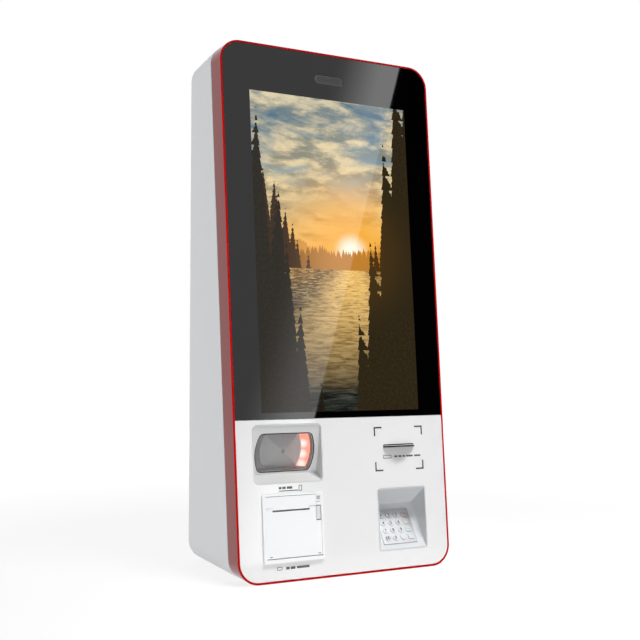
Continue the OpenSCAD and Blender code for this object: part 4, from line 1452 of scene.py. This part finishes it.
@dataclass
class CardReader:
    """Card reader with a dark mouth over a bowed metal lip. Heights run up the lean.

    Throat is the front and back depth of the dark plate in the mouth, and slot the card's way through it.
    """

    middle: float = 138.2
    width: float = 80.0
    low: float = 273.0
    high: float = 277.0
    inside: float = 4.0
    proud: float = 2.0
    bow: float = 15.5
    steps: int = 24
    edge: float = 0.4
    throat: Point2 = (1.35, 2.0)
    throat_edge: float = 0.1
    slot: Bar = (140.6, 278.4, 56.0, 1.6)

    def lip_outline(self) -> Outline:
        """Plan of the lip: across, and out from the front's plane.

        Returns:
            Points of a straight inner end and a bowed outer end.
        """
        half = self.width / 2
        points = [(self.middle - half, -self.inside), (self.middle + half, -self.inside)]
        for i in range(self.steps + 1):
            share = 1 - 2 * i / self.steps
            points.append((self.middle + share * half, self.proud + self.bow * (1 - share * share)))
        return points

    def build(self) -> None:
        """Makes the mouth and dresses the reader."""
        plan = LEAN.matrix @ Matrix.Rotation(math.radians(90), 4, "X")
        lip = plate_mesh("card_mouth_lip", [self.lip_outline()], self.low, self.high, self.edge, plan)
        piece("card_mouth_lip", lip, LipMetal().material(), "front_door", ("card_mouth",))
        x, u, width, height = self.slot
        opening = [rounded(*MOUTH), rounded(width, height, height / 2, x, u)]
        throat = plate_mesh("card_mouth_throat", opening, *self.throat, self.throat_edge, LEAN.matrix)
        piece("card_mouth_throat", throat, BLACK_NYLON.material(), "front_door")
        dress("card_reader", BLACK_ANODISED)


@dataclass
class PinPad:
    """Hooded pin pad: sixteen steel keys with generic numbers and colour bars.

    Bar is the width, height and corner radius of a colour bar.
    """

    key_top: float = -3.2
    pitch_x: float = 20.1
    pitch_z: float = 18.7
    hood_edge: float = 0.6
    plate_edge: float = 0.25
    key_edge: float = 0.4
    number_size: float = 11.0
    number_weight: float = 0.28
    bar: Point3 = (8.0, 2.2, 0.7)
    rows: tuple[tuple[str, ...], ...] = (
        ("1", "2", "3", "cancel"),
        ("4", "5", "6", "clear"),
        ("7", "8", "9", "enter"),
        ("sign", "0", "dot", "blank"),
    )

    def number(self, name: str, body: str, place: Matrix) -> bpy.types.Mesh:
        """Mesh of a key's figure.

        Args:
            name: the mesh's name.
            body: the figure.
            place: matrix of the key's top.

        Returns:
            The mesh in the row frame.
        """
        curve = bpy.data.curves.new(name, "FONT")
        curve.body = body
        curve.size = self.number_size
        curve.align_x = "CENTER"
        curve.align_y = "CENTER"
        curve.extrude = INK / 2
        curve.offset = self.number_weight
        holder = bpy.data.objects.new(name, curve)
        bpy.context.scene.collection.objects.link(holder)
        mesh = bpy.data.meshes.new_from_object(holder.evaluated_get(bpy.context.evaluated_depsgraph_get()))
        bpy.data.objects.remove(holder)
        bpy.data.curves.remove(curve)
        mesh.name = name
        mesh.transform(place @ Matrix.Rotation(math.radians(90), 4, "X"))
        return mesh

    def build(self) -> None:
        """Dresses the pad and prints its keys."""
        dress("keypad_hood", HOOD_COAT, self.hood_edge)
        dress("keypad_plate", PLATE_STEEL, self.plate_edge)
        dress("keypad_base", BLACK_NYLON)
        figures = {"sign": "00", "dot": "."}
        bars = {"cancel": RED_BAR, "clear": YELLOW_BAR, "enter": GREEN_BAR}
        middle = (len(self.rows) - 1) / 2
        for row, keys in enumerate(self.rows):
            for column, key in enumerate(keys):
                dress(f"key_{key}", KEY_STEEL, self.key_edge)
                place = PIN_PAD @ Matrix.Translation(
                    ((column - middle) * self.pitch_x, self.key_top, (middle - row) * self.pitch_z)
                )
                name = f"key_{key}_mark"
                if key in bars:
                    mesh = plate_mesh(name, [rounded(*self.bar)], -INK / 2, INK / 2, INK_EDGE, place)
                    piece(name, mesh, bars[key].material(), f"key_{key}_cap")
                elif key != "blank":
                    mesh = self.number(name, figures.get(key, key), place)
                    piece(name, mesh, LEGEND_INK.material(), f"key_{key}_cap")


@dataclass
class Markings:
    """Printed marks on the white panel: corner brackets round the card mouth, and labels of plain bars.

    A label is a list of bars as x, u, width and height of each, and an outlined sign with its line width.
    """

    depth: float = 1.0
    bar_corner: float = 0.5
    sign_corner: float = 0.3
    arm: float = 20.5
    stroke: float = 3.4
    left: float = 75.3
    right: float = 202.8
    low: float = 220.6
    high: float = 319.3
    labels: tuple[tuple[str, tuple[Bar, ...], Bar, float], ...] = (
        (
            "scanner",
            ((-160, 197.5, 6.5, 5.0), (-151, 197.5, 8.0, 5.0), (-138, 197.5, 13.0, 5.0), (-140, 191.2, 46.0, 2.0)),
            (-112.5, 195.5, 7.5, 12.5),
            1.5,
        ),
        (
            "printer",
            ((-149, 29.5, 8.0, 5.6), (-137, 29.5, 11.0, 5.6), (-113, 29.5, 30.0, 5.0)),
            (-168, 30.0, 12.0, 7.0),
            1.3,
        ),
        (
            "card",
            ((130, 252, 8, 4.2), (141, 252, 8, 4.2), (151, 252, 6, 4.2), (166, 252, 18, 3.8), (187, 252, 17, 3.8)),
            (107.6, 252.0, 22.0, 7.6),
            1.4,
        ),
    )

    def print_mark(self, name: str, outlines: list[Outline], finish: Finish = PRINT_INK) -> None:
        """Prints closed shapes on the panel.

        Args:
            name: the piece's name.
            outlines: the points of each, across and up the lean.
            finish: the ink.
        """
        front = self.depth - INK / 2
        mesh = plate_mesh(name, outlines, front, front + INK, INK_EDGE, LEAN.matrix)
        piece(name, mesh, finish.material(), "front_door")

    def build(self) -> None:
        """Prints all the marks."""
        for side, x, sx in (("left", self.left, 1), ("right", self.right, -1)):
            for level, u, su in (("low", self.low, 1), ("high", self.high, -1)):
                corner = [
                    (x, u),
                    (x + sx * self.arm, u),
                    (x + sx * self.arm, u + su * self.stroke),
                    (x + sx * self.stroke, u + su * self.stroke),
                    (x + sx * self.stroke, u + su * self.arm),
                    (x, u + su * self.arm),
                ]
                self.print_mark(f"bracket_{level}_{side}", [corner if sx * su > 0 else corner[::-1]])
        for name, bars, sign, line in self.labels:
            x, u, width, height = sign
            outlines = [rounded(w, h, self.bar_corner, across, up, 2) for across, up, w, h in bars]
            outlines.append(rounded(width, height, line, x, u, 4))
            outlines.append(rounded(width - 2 * line, height - 2 * line, self.sign_corner, x, u, 4))
            self.print_mark(f"label_{name}", outlines, LABEL_INK)


@dataclass(frozen=True)
class Lamp:
    """Soft oblong lamp: metres, watts and degrees. Only where it shines do metal and gloss show it."""

    name: str
    place: Point3
    target: Point3
    size: Point2
    watts: float
    spread: float = 180.0
    shines: bool = False

    def build(self) -> None:
        """Hangs the lamp and points it at its target."""
        light = bpy.data.lights.new(self.name, "AREA")
        light.energy = self.watts
        light.shape = "RECTANGLE"
        light.size, light.size_y = self.size
        light.spread = math.radians(self.spread)
        obj = bpy.data.objects.new(self.name, light)
        place = Vector(self.place)
        obj.location = place
        obj.rotation_euler = (Vector(self.target) - place).to_track_quat("-Z", "Y").to_euler()
        obj.visible_glossy = self.shines
        obj.visible_camera = False
        bpy.context.scene.collection.objects.link(obj)


@dataclass
class Studio:
    """White studio: pale floor, soft lamps, and the cards and flag that glass and steel mirror.

    Lengths are metres. The card's foot is the x and z of a point on the edge that card and flag share. Its
    curve is how the card brightens across, and its levels are the dimmest and brightest. Turn is the camera's
    yaw, pitch and roll in degrees.
    """

    dome_low: float = 0.11
    dome_high: float = 0.20
    lamps: tuple[Lamp, ...] = (
        # A grid keeps the key lamp off the roof
        Lamp("key_lamp", (0.42, -1.1, 2.68), (0.12, -0.5, -0.4), (1.0, 0.5), 8.2, 54.0, True),
        # The fill comes up through the floor, as light does off a white floor
        Lamp("fill_lamp", (-0.5, -2.2, -0.9), (0.1, -0.14, 0.3), (2.5, 1.2), 38.0),
        Lamp("side_lamp", (-3.2, 1.3, 1.0), (0.0, 0.1, 0.6), (2.2, 2.2), 60.0),
        Lamp("far_side_lamp", (3.2, 0.9, 1.0), (0.0, 0.1, 0.6), (2.2, 2.2), 40.0),
        Lamp("back_lamp", (0.9, 3.3, 1.2), (0.0, 0.1, 0.6), (2.2, 2.2), 45.0),
    )
    floor_tone: float = 0.22
    floor_fibre: float = 10 / 3 * MM
    floor_lift: float = 0.80
    floor_fade: Point2 = (0.8, 3.0)
    floor_reach: float = 12.0
    floor_drop: float = 0.0005
    card_y: float = -3.0
    card_foot: Point2 = (1.440, 0.765)
    card_low: float = -1.0
    card_slope: float = 0.376
    card_curve: tuple[Point2, ...] = ((0.18, 0.03), (0.42, 0.36), (0.65, 0.8), (0.8, 1.0))
    card_levels: Point2 = (1.0, 3.9)
    card_width: float = 0.5
    card_tall: float = 5.0
    flag_width: float = 9.0
    top_level: float = 3.0
    top_place: Point3 = (1.09, -0.8, 2.32)
    top_size: float = 1.15
    camera_place: Point3 = (-1.0669, -2.0337, 0.5002)
    camera_turn: Point3 = (27.648, -1.460, 0.539)
    camera_lens: float = 56.446
    camera_sensor: float = 36.0
    camera_shift: float = 0.0781

    def world(self) -> None:
        """White surroundings for sight and mirrors; as light, a dome that is brighter overhead."""
        world = bpy.data.worlds.new("white_studio")
        world.use_nodes = True
        tree = world.node_tree
        tree.nodes.clear()
        path = add(tree, "ShaderNodeLightPath").outputs
        seen = add(
            tree, "ShaderNodeMath", {0: path["Is Camera Ray"], 1: path["Is Glossy Ray"]}, operation="MAXIMUM"
        ).outputs[0]
        clear = add(
            tree, "ShaderNodeMath", {0: seen, 1: path["Is Transmission Ray"]}, operation="MAXIMUM"
        ).outputs[0]
        aloft = add(tree, "ShaderNodeTexCoord").outputs["Generated"]
        height = add(tree, "ShaderNodeSeparateXYZ", {0: aloft}).outputs["Z"]
        dome = add(
            tree,
            "ShaderNodeMapRange",
            {"Value": height, "From Min": 0.0, "From Max": 0.5, "To Min": self.dome_low, "To Max": self.dome_high},
            interpolation_type="SMOOTHSTEP",
        ).outputs[0]
        level = add(tree, "ShaderNodeMix", {0: clear, 2: dome, 3: 1.0}).outputs[0]
        sky = add(tree, "ShaderNodeBackground", {"Color": WHITE, "Strength": level}).outputs[0]
        add(tree, "ShaderNodeOutputWorld", {"Surface": sky})
        bpy.context.scene.world = world

    def sheet(self, name: str, corners: list[Vector], material: bpy.types.Material) -> bpy.types.Object:
        """A flat four-sided sheet.

        Args:
            name: its name.
            corners: its corners in order.
            material: its material.

        Returns:
            The new object.
        """
        mesh = bpy.data.meshes.new(name)
        mesh.from_pydata([tuple(c) for c in corners], [], [(0, 1, 2, 3)])
        mesh.materials.append(material)
        obj = bpy.data.objects.new(name, mesh)
        bpy.context.scene.collection.objects.link(obj)
        return obj

    def floor(self) -> None:
        """Pale floor that keeps the kiosk's shadow and is white to the eye elsewhere."""
        material, tree = new_tree("studio_floor_paper")
        place = add(tree, "ShaderNodeTexCoord").outputs["Object"]
        grain = {"Vector": place, "Scale": 1 / self.floor_fibre, "Detail": 2.0}
        fibre = add(tree, "ShaderNodeTexNoise", grain).outputs[0]
        tone = add(
            tree,
            "ShaderNodeMapRange",
            {"Value": fibre, "To Min": self.floor_tone * 0.99, "To Max": self.floor_tone * 1.01},
        ).outputs[0]
        matte = add(tree, "ShaderNodeBsdfDiffuse", {"Color": tone}).outputs[0]
        path = add(tree, "ShaderNodeLightPath").outputs
        far = add(tree, "ShaderNodeVectorMath", {0: place}, operation="LENGTH").outputs["Value"]
        near, away = self.floor_fade
        rise = add(
            tree,
            "ShaderNodeMapRange",
            {"Value": far, "From Min": near, "From Max": away, "To Min": self.floor_lift, "To Max": 1.0},
        ).outputs[0]
        lift = add(
            tree,
            "ShaderNodeMath",
            {0: path["Is Camera Ray"], 1: rise, 2: path["Is Glossy Ray"]},
            operation="MULTIPLY_ADD",
        ).outputs[0]
        glow = add(tree, "ShaderNodeEmission", {"Color": WHITE, "Strength": lift}).outputs[0]
        both = add(tree, "ShaderNodeAddShader", {0: matte, 1: glow}).outputs[0]
        add(tree, "ShaderNodeOutputMaterial", {"Surface": both})
        square = ((-1, -1), (1, -1), (1, 1), (-1, 1))
        corners = [Vector((x * self.floor_reach, y * self.floor_reach, -self.floor_drop)) for x, y in square]
        self.sheet("studio_floor", corners, material).visible_shadow = False

    def mirror_only(self, obj: bpy.types.Object) -> None:
        """Lets only mirror reflections see an object.

        Args:
            obj: the object.
        """
        obj.visible_camera = False
        obj.visible_diffuse = False
        obj.visible_transmission = False
        obj.visible_shadow = False
        obj.visible_volume_scatter = False

    def card_and_flag(self) -> None:
        """Bright graded card and black flag in front of the kiosk; their shared edge crosses the glass."""
        x, z = self.card_foot
        low = Vector((x + self.card_slope * (self.card_low - z), self.card_y, self.card_low))
        high = low + Vector((self.card_slope * self.card_tall, 0, self.card_tall))
        for name, shift, graded in (("studio_card", -self.card_width, True), ("studio_flag", self.flag_width, False)):
            material, tree = new_tree(name)
            level = 0.0
            if graded:
                place = add(tree, "ShaderNodeTexCoord").outputs["Object"]
                across = add(
                    tree,
                    "ShaderNodeVectorMath",
                    {0: place, 1: (1, 0, -self.card_slope)},
                    operation="DOT_PRODUCT",
                ).outputs["Value"]
                edge = x - self.card_slope * z
                share = add(
                    tree, "ShaderNodeMapRange", {"Value": across, "From Min": edge - self.card_width, "From Max": edge}
                ).outputs[0]
                curve = add(tree, "ShaderNodeFloatCurve", {"Value": share})
                points = curve.mapping.curves[0].points
                for at, value in self.card_curve:
                    points.new(at, value)
                curve.mapping.update()
                dim, bright = self.card_levels
                level = add(
                    tree, "ShaderNodeMapRange", {"Value": curve.outputs[0], "To Min": dim, "To Max": bright}
                ).outputs[0]
            glow = add(tree, "ShaderNodeEmission", {"Color": WHITE, "Strength": level}).outputs[0]
            add(tree, "ShaderNodeOutputMaterial", {"Surface": glow})
            aside = Vector((shift, 0, 0))
            obj = self.sheet(name, [low, low + aside, high + aside, high], material)
            self.mirror_only(obj)

    def top_card(self) -> None:
        """Bright card overhead that the steel of the pin pad mirrors."""
        material, tree = new_tree("studio_top_card")
        glow = add(tree, "ShaderNodeEmission", {"Color": WHITE, "Strength": self.top_level}).outputs[0]
        add(tree, "ShaderNodeOutputMaterial", {"Surface": glow})
        middle = Vector(self.top_place)
        wide, deep = (Vector(side) * self.top_size / 2 for side in ((1, 0, 0), (0, 1, 0)))
        corners = [middle - wide - deep, middle + wide - deep, middle + wide + deep, middle - wide + deep]
        self.mirror_only(self.sheet("studio_top_card", corners, material))

    def camera(self) -> None:
        """Camera at the photo's place and angle."""
        yaw, pitch, roll = (math.radians(a) for a in self.camera_turn)
        ahead = Vector((math.sin(yaw) * math.cos(pitch), math.cos(yaw) * math.cos(pitch), math.sin(pitch)))
        right = Vector((math.cos(yaw), -math.sin(yaw), 0))
        up = right.cross(ahead)
        level = Matrix((right, up, -ahead)).transposed().to_4x4()
        lens = bpy.data.cameras.new("photo_camera")
        lens.lens = self.camera_lens
        lens.sensor_width = self.camera_sensor
        lens.shift_y = self.camera_shift
        obj = bpy.data.objects.new("photo_camera", lens)
        obj.matrix_world = Matrix.Translation(self.camera_place) @ level @ Matrix.Rotation(roll, 4, "Z")
        bpy.context.scene.collection.objects.link(obj)
        bpy.context.scene.camera = obj

    def build(self) -> None:
        """Sets the whole studio up."""
        self.world()
        self.floor()
        self.card_and_flag()
        self.top_card()
        for lamp in self.lamps:
            lamp.build()
        self.camera()
        bpy.context.scene.view_settings.view_transform = "Standard"


def main() -> None:
    """Builds the kiosk's looks in order."""
    for part in (
        Cabinet(),
        DoorTrim(),
        FrontPanels(),
        Speaker(),
        Scanner(),
        Printer(),
        CardReader(),
        PinPad(),
        Markings(),
        Studio(),
    ):
        part.build()
        LOG.info("%s built", type(part).__name__)


if __name__ == "__main__":
    logging.basicConfig(level=logging.INFO, format="%(message)s")
    main()
